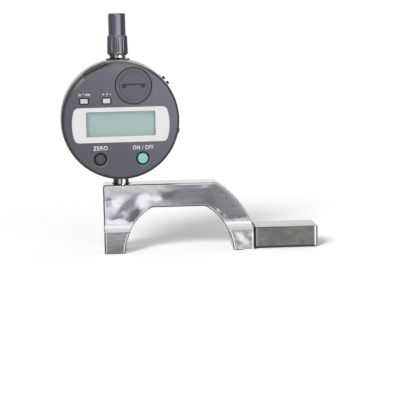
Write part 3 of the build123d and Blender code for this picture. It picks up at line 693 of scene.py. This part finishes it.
ground = Finish("ground_steel", metallic=1.0, roughness=0.38)
bar_grain = ground.noise(0.5, (20.0, 1.0, 1.0), detail=4.0)
stain = ground.noise(4.0, (1.6, 1.0, 1.0), detail=4.0, distortion=0.8)
bar_low, bar_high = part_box("handle_bar")
from_joint = ground.along(RIGHT, bar_low)
from_end = ground.along(LEFT, bar_high)
from_bottom = ground.along(UP, bar_low)
from_bar_top = ground.along(DOWN, bar_high)
near_part = 1 - ground.step(from_joint, 12.0, 17.0)
bar_front = ground.mix(near_part, BAR_FAR, BAR_NEAR)
bar_front = ground.shade(bar_front, 0.25 + bar_grain * 0.25 + stain * 1.25)
# A painted highlight line beside the joint.
joint_highlight = ground.band(from_joint, (1.3, 1.7), (2.0, 2.5))
bar_front = ground.mix(joint_highlight * 0.6, bar_front, BAR_HIGHLIGHT)
# Painted shade along the lower edge, and along the upper edge near the joint.
lower_edge = 1 - ground.step(from_bottom, 0.6, 1.2)
upper_edge = near_part * (1 - ground.step(from_bar_top, 0.9, 1.3))
bar_front = ground.mix(lower_edge.larger(upper_edge) * 0.85, bar_front, BAR_EDGE_SHADE)
# A painted highlight line near the far end.
end_highlight = ground.band(from_end, (1.15, 1.25), (1.6, 1.8))
bar_front = ground.mix(end_highlight, bar_front, BAR_END_HIGHLIGHT)
print("handle bar", round((bar_high.x - bar_low.x) / MM, 1), "mm long")

# %% [markdown]
# The bevel at the joint is in painted shade, the underside is painted dark as shade, the top and
# its bevel are painted as lit, and the far end's bevel has a painted bright line beside a dark one.
# Each is chosen by the way the surface faces, so one material serves the whole bar.

# %% Other sides of the handle bar
BAR_TOP_LIT = (0.60, 0.60, 0.585)
BAR_TOP_BEVEL_HIGHLIGHT = (0.70, 0.70, 0.70)
BAR_END_DARK = (0.10, 0.10, 0.10)
BAR_END_PALE = (0.27, 0.27, 0.27)
BAR_JOINT_SHADE = (0.022, 0.022, 0.022)
BAR_JOINT_TOP = (0.22, 0.22, 0.22)
BAR_UNDER_SHADE = (0.05, 0.05, 0.055)
TURNED_TO = 0.3

bar_up = ground.facing(UP)
# Painted light on the top and its bevel, painted light and shade on the ends, painted shade underneath.
bar_pale = ground.shade(BAR_TOP_LIT, 0.9 + bar_grain * 0.2)
bar_tone = ground.mix(1 - ground.step(bar_up, 0.8, 0.95), bar_pale, BAR_TOP_BEVEL_HIGHLIGHT)
end_tone = ground.mix(ground.step(from_end, 0.15, 0.35), BAR_END_DARK, BAR_END_PALE)
bar_tone = ground.mix(ground.facing(RIGHT) > TURNED_TO, bar_tone, end_tone)
joint_tone = ground.mix(bar_up > TURNED_TO, BAR_JOINT_SHADE, BAR_JOINT_TOP)
bar_tone = ground.mix(ground.facing(LEFT) > TURNED_TO, bar_tone, joint_tone)
bar_tone = ground.mix(ground.facing(DOWN) > TURNED_TO, bar_tone, BAR_UNDER_SHADE)
front_share = ground.step(ground.facing(BACK).size(), 0.85, 0.97)
ground.paint(Base_Color=ground.mix(front_share, bar_tone, bar_front), Roughness=0.30 + bar_grain * 0.16)
ground.bump(bar_grain, 0.004, 0.5)
put_on(ground, "handle_bar")

# %% [markdown]
# Small metal pieces are turned on a lathe, so they have fine rings round the stem's axis. Screws,
# dowels, spring and spindle are steel, and the bush, bearings and battery contact are bronze. A
# noise that is very wide across the axis and thin along it draws the rings.

# %% Turned and small metal pieces


def turned_metal(name, colour, roughness, ring_size):
    """Metal with fine rings round the stem's axis and faint stains."""
    finish = Finish(name, metallic=1.0)
    rings = finish.noise(ring_size, (30.0, 30.0, 1.0), detail=2.0)
    stain = finish.noise(3.0, detail=2.0)
    finish.paint(
        Base_Color=finish.shade(colour, 0.86 + rings * 0.16 + stain * 0.12),
        Roughness=roughness * 0.8 + rings * (roughness * 0.4),
    )
    finish.bump(rings, 0.003, 0.4)
    return finish


hardened_steel = turned_metal("hardened_steel", (0.58, 0.58, 0.60), roughness=0.22, ring_size=0.2)
plain_steel = turned_metal("plain_steel", (0.42, 0.42, 0.44), roughness=0.35, ring_size=0.3)
bronze = turned_metal("bronze", (0.16, 0.12, 0.075), roughness=0.40, ring_size=0.3)
put_on(hardened_steel, "spindle", "contact_point", "guide_pin")
put_on(plain_steel, "handle_stud", "handle_dowels", "clamp_screw", "back_screws", "board_screws")
put_on(plain_steel, "return_spring", "battery")
put_on(bronze, "stem_bush", "stem_bearing", "neck_bearing", "battery_contact")

# %% [markdown]
# The return spring sits round the spindle, between the carriage with the scale and the top of the
# case. The CAD solid is a plain helix. A curve with a bevel draws a clean round wire along any
# path, so here the spring gets the closed coils that a real one has at both ends.

# %% The spring's wire
WIRE_RADIUS = 0.28 * MM
OPEN_TURNS = 8
CLOSED_TURNS = 2
COIL_STEPS = 20

spring_low, spring_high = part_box("return_spring")
spring_length = spring_high.z - spring_low.z
coil_radius = (spring_high.x - spring_low.x) / 2 - WIRE_RADIUS
closed_rise = 2.1 * WIRE_RADIUS
open_rise = (spring_length - 2 * WIRE_RADIUS - CLOSED_TURNS * closed_rise) / OPEN_TURNS


def coil_height(turn):
    """Height of the wire's middle after a number of turns: one closed turn, open turns, one closed."""
    opened = min(max(turn - 1, 0), OPEN_TURNS)
    return closed_rise * (turn - opened) + open_rise * opened


wire = bpy.data.curves.new("coil", "CURVE")
wire.dimensions = "3D"
wire.bevel_depth = WIRE_RADIUS
wire.bevel_resolution = 2
wire.use_fill_caps = True
path = wire.splines.new("POLY")
path.points.add((OPEN_TURNS + CLOSED_TURNS) * COIL_STEPS)
for number, point in enumerate(path.points):
    angle = math.tau * number / COIL_STEPS
    height = spring_low.z + WIRE_RADIUS + coil_height(number / COIL_STEPS)
    point.co = (stem_x + coil_radius * math.cos(angle), coil_radius * math.sin(angle), height, 1.0)
print("spring", round(spring_length / MM, 1), "mm long, pitch", round(open_rise / MM, 2))

# %% [markdown]
# On the real gauge the spring shortens and lengthens as the spindle slides. Here the wire becomes
# one mesh in the CAD spring's place, and the CAD spring is hidden.

# %% Return spring


def mesh_from_curve(name, curve):
    """The mesh of a curve or a text, as Blender draws it."""
    drawn = bpy.data.objects.new(name + "_curve", curve)
    scene.collection.objects.link(drawn)
    bpy.context.view_layer.update()
    mesh = bpy.data.meshes.new_from_object(drawn.evaluated_get(bpy.context.evaluated_depsgraph_get()))
    bpy.data.objects.remove(drawn)
    mesh.name = name
    mesh.materials.clear()
    return mesh


coil_mesh = mesh_from_curve("coil_spring", wire)
coil_mesh.materials.append(plain_steel.material)
coil_spring = bpy.data.objects.new("coil_spring", coil_mesh)
scene.collection.objects.link(coil_spring)
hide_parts("return_spring")
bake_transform(coil_spring)
print("spring's mesh has", len(coil_mesh.polygons), "faces")

# %% [markdown]
# A chromed tube squeezes a whole room into a few upright bands. The room here is plain, so the
# bands are painted reflections in the chrome's colour: a ramp from one side of the tube to the
# other, by the way each point faces, so that they are as straight as the tube and have the real
# one's rhythm.

# %% Chrome's painted reflection bands
CHROME_BANDS = (
    (0.0, (0.03, 0.03, 0.03)),
    (0.28, (0.05, 0.05, 0.05)),
    (0.36, (0.50, 0.50, 0.49)),
    (0.44, (0.42, 0.42, 0.42)),
    (0.49, (0.06, 0.06, 0.06)),
    (0.55, (0.10, 0.10, 0.10)),
    (0.60, (0.88, 0.88, 0.86)),
    (0.73, (0.85, 0.85, 0.83)),
    (0.79, (0.05, 0.05, 0.05)),
    (1.0, (0.10, 0.10, 0.10)),
)


def side_to_side(finish):
    """0 where a round piece faces the dial's left and 1 where it faces the dial's right."""
    return finish.facing(dial_across) * 0.5 + 0.5


chrome = Finish("stem_chrome", metallic=1.0)
# Painted reflection bands across the tube.
bands = chrome.ramp(side_to_side(chrome), CHROME_BANDS)
ring_marks = chrome.noise(0.25, (30.0, 30.0, 1.0), detail=2.0)
chrome.paint(Base_Color=chrome.shade(bands, 0.9 + ring_marks * 0.2), Roughness=0.10 + ring_marks * 0.08)
put_on(chrome, "stem", "neck_sleeve")

# %% [markdown]
# The case is turned from aluminium and anodised to a satin grey-green, with a painted highlight
# that makes it paler at its upper left. Where the cover has its notch, painted shade darkens the
# front of the case, and the shade fades out backwards. The notch has its own pair of axes, turned
# about the dial's centre.

# %% Case metal
CASE_TONE = (0.25, 0.26, 0.245)
CASE_HIGHLIGHT = (0.37, 0.375, 0.38)
CASE_SHADED = (0.075, 0.075, 0.08)
NOTCH_ANGLE = math.radians(114.8)
NOTCH_HALF = 6.7
NOTCH_FADE = 0.8
SHADE_BACK = 1.0
SHADE_FRONT = 8.0


def notch_axes(x, z):
    """Millimetres out towards the notch and along its straight edge."""
    out = x * math.cos(NOTCH_ANGLE) + z * math.sin(NOTCH_ANGLE)
    return out, z * math.cos(NOTCH_ANGLE) - x * math.sin(NOTCH_ANGLE)


case_metal = Finish("case_metal", metallic=1.0)
turning = case_metal.noise(0.35, (25.0, 1.0, 25.0), detail=2.0)
haze = case_metal.noise(12.0, detail=2.0)
case_x, case_z = case_metal.on_dial(dial_centre)
# Painted shade beside the notch, fading out backwards.
shaded_out, shaded_along = notch_axes(case_x, case_z)
shaded = case_metal.step(shaded_along.size(), NOTCH_HALF, NOTCH_HALF - NOTCH_FADE) * (shaded_out > 20.0)
shaded = shaded * case_metal.step(case_metal.along(dial_out, dial_centre), SHADE_BACK, SHADE_FRONT)
# A painted highlight at the upper left.
upper_left_highlight = case_metal.step(case_z * 0.5 - case_x * 0.87, 20.0, 27.0)
case_tone = case_metal.mix(upper_left_highlight, CASE_TONE, CASE_HIGHLIGHT)
case_tone = case_metal.mix(shaded, case_tone, CASE_SHADED)
case_metal.paint(
    Base_Color=case_metal.shade(case_tone, 0.84 + turning * 0.14 + haze * 0.14),
    Roughness=0.26 + turning * 0.16,
)
case_metal.bump(turning, 0.004, 0.4)
put_on(case_metal, "rear_case", "guide_rail")

# %% [markdown]
# Moulded plastic takes its look from the mould's texture: a fine even grain that breaks up the
# highlight, and a slightly different tone from place to place. Each plastic is the same recipe
# with its own colour and roughness, so one function makes them all. The small pieces need no
# more than that.

# %% Plastics and rubber


def moulded(name, colour, roughness, grain_size=0.18, grain_depth=0.006, patchy=0.10):
    """Moulded plastic with a slightly uneven tone, and a grain sized in millimetres."""
    finish = Finish(name, Specular_IOR_Level=0.32)
    grain = finish.noise(grain_size, detail=2.0)
    patches = finish.noise(11.0, detail=3.0)
    tone = 1 - patchy + grain * patchy + patches * patchy
    finish.paint(
        Base_Color=finish.shade(colour, tone),
        Roughness=roughness * 0.88 + grain * (roughness * 0.24),
    )
    finish.bump(grain, grain_depth, 0.6)
    finish.tone = tone
    return finish


slate_plastic = moulded("slate_plastic", (0.040, 0.041, 0.048), 0.50)
put_on(slate_plastic, "back_plate", "scale_carriage")
dark_plastic = moulded("dark_plastic", (0.020, 0.020, 0.022), 0.45)
put_on(dark_plastic, "key_switches", "battery_holder", "data_socket")
rubber = moulded("rubber", (0.016, 0.016, 0.018), 0.75, grain_size=0.3, grain_depth=0.01)
put_on(rubber, "case_gasket", "neck_seal", "socket_plug", "battery_seal")
BOARD_GREEN = (0.012, 0.085, 0.045)
board = moulded("circuit_board", BOARD_GREEN, 0.30, grain_size=0.6, grain_depth=0.01)
put_on(board, "main_board", "detector_board")
BEZEL_PALE = (0.745, 0.745, 0.73)
bezel = moulded("bezel_plastic", BEZEL_PALE, 0.32, grain_size=0.1, grain_depth=0.002, patchy=0.03)
put_on(bezel, "display_bezel")
origin_plastic = moulded("origin_plastic", (0.060, 0.055, 0.060), 0.45, grain_size=0.15)
put_on(origin_plastic, "origin_button")
POWER_GREEN = (0.235, 0.565, 0.485)
power_plastic = moulded("power_plastic", POWER_GREEN, 0.42, grain_size=0.15, patchy=0.05)
put_on(power_plastic, "power_button")

# %% [markdown]
# The front cover is one dark moulding with a rounded rim. Painted light makes it lighter towards
# the upper right, painted shade makes its rim nearly black, and a painted highlight lies on the top
# of the rim. Distances from the dial's centre place these marks, and a ratio of two of them lets
# the rim's shade be narrower on the right.

# %% Face of the front cover
FACE_COLOUR = (0.072, 0.076, 0.099)
FACE_ROUGHNESS = 0.46
FACE_LIT = (0.114, 0.118, 0.157)
FACE_RIM_SHADE = (0.020, 0.019, 0.022)
FACE_TOP_HIGHLIGHT = (0.150, 0.138, 0.135)
RIM_START = 27.2
RIM_LATER_RIGHT = 0.4
RIM_FADE = 1.7
RIM_FADE_LESS_RIGHT = 0.7

face = moulded("face_plastic", FACE_COLOUR, FACE_ROUGHNESS)
dial_x, dial_z = face.on_dial(dial_centre)
dial_reach = straight(dial_x, dial_z)
# Painted light to the upper right, painted shade on the rim and a painted highlight on its top.
face_tone = face.mix(face.step(dial_x + dial_z, -26.0, 40.0), FACE_COLOUR, FACE_LIT)
rightward = face.step(dial_x, -10.0, 25.0)
past_rim = dial_reach - (RIM_START + RIM_LATER_RIGHT * rightward)
rim_shade = face.step(past_rim / (RIM_FADE - RIM_FADE_LESS_RIGHT * rightward), 0.0, 1.0)
top_light = face.step(dial_z, 23.0, 27.5) * face.step(dial_x, -7.0, -2.0)
face_tone = face.mix(top_light * 0.7, face_tone, FACE_TOP_HIGHLIGHT)
face_tone = face.mix(rim_shade * (1 - top_light * 0.75), face_tone, FACE_RIM_SHADE)
print("rim's shade starts", RIM_START, "mm from the dial's centre")

# %% [markdown]
# Wells under the keys and buttons, and the groove round the battery cover, are in deep shade on
# the real dial, and here that shade is painted. Whatever lies lower than the face is one of them,
# so its depth chooses the painted shade. The notch at the upper left is a flat cut across the rim,
# painted in shade with darker painted shade along its edge, and with a painted glint past its end.

# %% Painted shade in wells, groove and notch, and the notch's painted glint
WELL_SHADE = (0.012, 0.012, 0.016)
WELL_DEPTH = -0.12
GROOVE_EDGE = 9.3
NOTCH_SHADE = (0.035, 0.035, 0.042)
NOTCH_EDGE_SHADE = (0.010, 0.010, 0.012)
NOTCH_GLINT = (0.21, 0.205, 0.22)
NOTCH_AT = 27.95

sunk = face.along(dial_out, face_centre) < WELL_DEPTH
in_well = sunk * (dial_reach < RIM_START - 0.4)
battery_centre = Vector(joints["battery_cover_turn"]["pos_m"])
by_groove = straight(*face.on_dial(battery_centre)) < GROOVE_EDGE
# Painted shade in the wells and the groove.
face_tone = face.mix(in_well.larger(by_groove), face_tone, WELL_SHADE)
notch_out, notch_along = notch_axes(dial_x, dial_z)
# A painted glint past the notch's end.
glint = face.band(notch_along, (NOTCH_HALF + 0.1, NOTCH_HALF + 0.4), (9.0, 16.0)) * (notch_out > 15.0)
glint = glint * face.step(dial_reach, 26.8, 27.6) * (1 - face.step(dial_reach, 28.1, 28.5))
face_tone = face.mix(glint * 0.9, face_tone, NOTCH_GLINT)
# Painted shade in the notch, darker along its edge.
in_notch = face.step(notch_out, NOTCH_AT - 0.1, NOTCH_AT) * (notch_along.size() < NOTCH_HALF)
notch_shade = face.mix(face.step(notch_out, NOTCH_AT, NOTCH_AT + 0.5), NOTCH_EDGE_SHADE, NOTCH_SHADE)
face_tone = face.mix(in_notch, face_tone, notch_shade)
print("notch", 2 * NOTCH_HALF, "mm wide at", NOTCH_AT, "mm from the dial's centre")

# %% [markdown]
# Each round button sits in a shallow dish, and a painted highlight crescent stands for the light
# that the dish's lower right side catches. A ring, kept only on that side, draws it.

# %% Dishes of the round buttons
DISH_INSIDE = 3.25
DISH_OUTSIDE = 3.95
DISH_LIGHT = (0.20, 0.20, 0.23)
INNER_SIDE = (DISH_INSIDE, DISH_INSIDE + 0.3)
OUTER_SIDE = (DISH_OUTSIDE - 0.3, DISH_OUTSIDE + 0.2)


def middle_of(name):
    """Middle of a CAD node's box."""
    low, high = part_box(name)
    return (low + high) / 2


# Each dish gets a painted highlight crescent.
for name in ("origin_button", "power_button"):
    button_x, button_z = face.on_dial(middle_of(name))
    crescent = face.band(straight(button_x, button_z), INNER_SIDE, OUTER_SIDE)
    crescent = crescent * face.step(button_x * 0.7 - button_z, 1.0, 4.0)
    face_tone = face.mix(crescent * 0.8, face_tone, DISH_LIGHT)
face.paint(Base_Color=face.shade(face_tone, face.tone))
put_on(face, "front_cover")

# %% [markdown]
# The fluted cap is the same kind of plastic. Its flutes reflect the lamp in upright bands, like
# the chrome below it but far softer, so it gets painted reflection bands, a ramp of the same kind,
# over its grain.

# %% Fluted cap
CAP_BANDS = (
    (0.0, (0.048, 0.044, 0.056)),
    (0.15, (0.045, 0.044, 0.056)),
    (0.40, (0.095, 0.100, 0.128)),
    (0.43, (0.215, 0.230, 0.280)),
    (0.52, (0.215, 0.230, 0.280)),
    (0.57, (0.125, 0.132, 0.165)),
    (0.70, (0.140, 0.146, 0.180)),
    (0.75, (0.044, 0.044, 0.058)),
    (1.0, (0.048, 0.048, 0.058)),
)

CAP_COLOUR = (0.038, 0.039, 0.054)
cap = moulded("cap_plastic", CAP_COLOUR, 0.32, grain_size=0.12, grain_depth=0.003)
# Painted reflection bands over the grain.
cap.paint(Base_Color=cap.shade(cap.ramp(side_to_side(cap), CAP_BANDS), cap.tone))
put_on(cap, "spindle_cap")

# %% [markdown]
# The battery cover matches the face. Its coin slot has a pocket at each end and a thin line
# between them, and painted shade darkens these and the cover's edge. The height of a point and its
# distance from the cover's middle find them, so the marks stay on the cover when it turns.

# %% Battery cover
BATTERY_TOP = (0.080, 0.083, 0.108)
BATTERY_EDGE = 8.6
POCKET_DEEP = -0.7
POCKET_START = -0.4
COIN_LINE_HALF = 5.75
COIN_LINE_LOW = 0.30
COIN_LINE_HIGH = 1.0

battery_plastic = moulded("battery_cover_plastic", FACE_COLOUR, FACE_ROUGHNESS)
battery_x, battery_z = battery_plastic.on_dial(battery_centre)
height = battery_plastic.along(dial_out, face_centre)
past_cover = battery_plastic.step(straight(battery_x, battery_z), BATTERY_EDGE, BATTERY_EDGE + 0.2)
on_top = battery_plastic.step(height, POCKET_DEEP, POCKET_START) * (1 - past_cover)
in_line = (battery_x.size() < COIN_LINE_HALF) * (battery_z > COIN_LINE_LOW)
in_line = in_line * (battery_z < COIN_LINE_HIGH)
# Painted shade in the slot's pockets and line, and past the cover's edge.
battery_tone = battery_plastic.mix(on_top * (1 - in_line), WELL_SHADE, BATTERY_TOP)
battery_plastic.paint(Base_Color=battery_plastic.shade(battery_tone, battery_plastic.tone))
put_on(battery_plastic, "battery_cover")

# %% [markdown]
# Each key is a pale crown with a slightly lighter border, and a thin dark line of painted shade
# goes round it where its side drops into the well. The distance inside the crown's outline gives
# both, and each key has a material of its own, because the distance starts from its own middle.

# %% Keys
KEY_WIDTH = 3.8
KEY_HEIGHT = 2.5
KEY_BORDER = 0.26
KEY_BORDER_FADE = 0.3
KEY_LINE = 0.12
KEY_BASE = (0.60, 0.60, 0.62)
KEY_PALE = (0.76, 0.76, 0.77)
KEY_TOP = (0.58, 0.58, 0.60)
KEY_EDGE_SHADE = (0.10, 0.10, 0.11)

for name in ("unit_key", "sign_key"):
    crown = moulded(name + "_plastic", KEY_BASE, 0.42, grain_size=0.1, grain_depth=0.004, patchy=0.04)
    crown_x, crown_z = crown.on_dial(middle_of(name))
    inside = (KEY_WIDTH / 2 - crown_x.size()).smaller(KEY_HEIGHT / 2 - crown_z.size())
    past_border = crown.step(inside, KEY_BORDER, KEY_BORDER + KEY_BORDER_FADE)
    crown_tone = crown.mix(past_border, KEY_PALE, KEY_TOP)
    # A thin line of painted shade where the key's side drops into the well.
    past_line = crown.step(inside, KEY_BORDER - KEY_LINE, KEY_BORDER)
    crown_tone = crown.mix(past_line, KEY_EDGE_SHADE, crown_tone)
    crown.paint(Base_Color=crown.shade(crown_tone, crown.tone))
    put_on(crown, name)

# %% [markdown]
# The display is off, so it shows an even grey-green field. The panel behind the glass is painted
# with a slow change of tone, with painted light along its left and upper edges, where light comes
# in past the bezel, and painted shade on the right. The glass is nearly all see-through: a low
# alpha on a smooth surface keeps only its reflections.

# %% Display
PANEL_COLOUR = (0.30, 0.435, 0.425)
GLASS_COLOUR = (0.85, 0.92, 0.90)
GLASS_ALPHA = 0.05

panel = Finish("display_panel", roughness=0.35)
panel_x, panel_z = panel.on_dial(dial_centre)
# Painted light along the left and top edges, painted shade on the right.
left_light = 0.42 * panel.step(panel_x, -15.4, -16.8)
upper_light = 0.44 * panel.step(panel_z, 2.4, 4.0)
right_shade = 0.25 * panel.step(panel_x, 15.8, 17.0)
panel_tone = 0.97 + 0.04 * panel.step(panel_z, -8.0, 5.0) + panel.noise(6.0, detail=2.0) * 0.03
panel_tone = panel_tone + left_light + upper_light - right_shade
panel.paint(Base_Color=panel.shade(PANEL_COLOUR, panel_tone))
put_on(panel, "display_panel")

window = Finish("window", roughness=0.08)
smear = window.noise(5.0, detail=2.0)
window.paint(Base_Color=window.shade(GLASS_COLOUR, 0.9 + smear * 0.1), Alpha=GLASS_ALPHA + smear * 0.04)
put_on(window, "display_glass", "scale_strip")

# %% [markdown]
# Only plain words go on the dial: units, sign, zero and the switch. They are printed, so each is
# a text turned into a mesh a few hundredths of a millimetre thick. Blender's own font is used,
# and every word is scaled to the height and width that the print has on such a dial.

# %% Printed words
PRINT_THICKNESS = 0.02 * MM
STROKE_GROWTH = 0.022
LETTER_SPACE = 1.12
PRINT_WHITE = (0.80, 0.80, 0.82)
printed = moulded("white_print", PRINT_WHITE, 0.5, grain_size=0.1, grain_depth=0.001, patchy=0.04)


def dial_place(across, up):
    """Matrix that lays a flat piece on the dial, its own X across and its own Y up the face."""
    turn = Matrix((dial_across, Vector(UP), dial_out)).transposed().to_4x4()
    place = dial_centre + dial_across * across + Vector((0, 0, up)) + dial_out * face_out
    return Matrix.Translation(place) @ turn


def word_mesh(name, word, width, height):
    """A word as a thin mesh round its own middle, with a given width and capital height."""
    curve = bpy.data.curves.new(name, "FONT")
    curve.body = word
    curve.offset = STROKE_GROWTH
    curve.space_character = LETTER_SPACE
    mesh = mesh_from_curve(name, curve)
    low = Vector(min(v.co[i] for v in mesh.vertices) for i in range(3))
    high = Vector(max(v.co[i] for v in mesh.vertices) for i in range(3))
    fit = Matrix.Diagonal((width / (high.x - low.x), height / (high.y - low.y), 1.0, 1.0))
    mesh.transform(fit @ Matrix.Translation(-(low + high) / 2))
    build = bmesh.new()
    build.from_mesh(mesh)
    bmesh.ops.remove_doubles(build, verts=build.verts, dist=0.001 * MM)
    grown = bmesh.ops.extrude_face_region(build, geom=build.faces[:])
    raised = [part for part in grown["geom"] if isinstance(part, bmesh.types.BMVert)]
    bmesh.ops.translate(build, verts=raised, vec=(0, 0, PRINT_THICKNESS))
    bmesh.ops.recalc_face_normals(build, faces=build.faces)
    build.to_mesh(mesh)
    build.free()
    return mesh


def print_word(name, word, across, up, width, height):
    """Lay a word on the dial, centred on a place, all in millimetres."""
    mesh = word_mesh(name, word, width * MM, height * MM)
    mesh.materials.append(printed.material)
    made = bpy.data.objects.new(name, mesh)
    scene.collection.objects.link(made)
    made.matrix_world = dial_place(across * MM, up * MM)
    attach(made, "indicator")
    print(name, "is", width, "mm wide")


print_word("unit_words", "in / mm", -17.7, 13.7, 5.7, 1.7)
print_word("sign_words", "+ / \u2212", -6.6, 13.5, 4.6, 1.7)
print_word("zero_words", "ZERO", -10.5, -13.3, 7.2, 2.15)
print_word("power_words", "ON / OFF", 10.8, -13.4, 10.4, 2.15)

# %% [markdown]
# The CAD model's meshes are made of flat faces. Round pieces should look smooth and flat ones
# keep their sharp edges, so every face is smooth and only edges that turn by more than an angle
# are marked sharp. The shapes stay as they are.

# %% Smooth shading
SHARP_ANGLE = math.radians(32)
for piece in nodes.values():
    for polygon in piece.data.polygons:
        polygon.use_smooth = True
    piece.data.set_sharp_from_angle(angle=SHARP_ANGLE)
print("smooth shading on", len(nodes), "nodes")
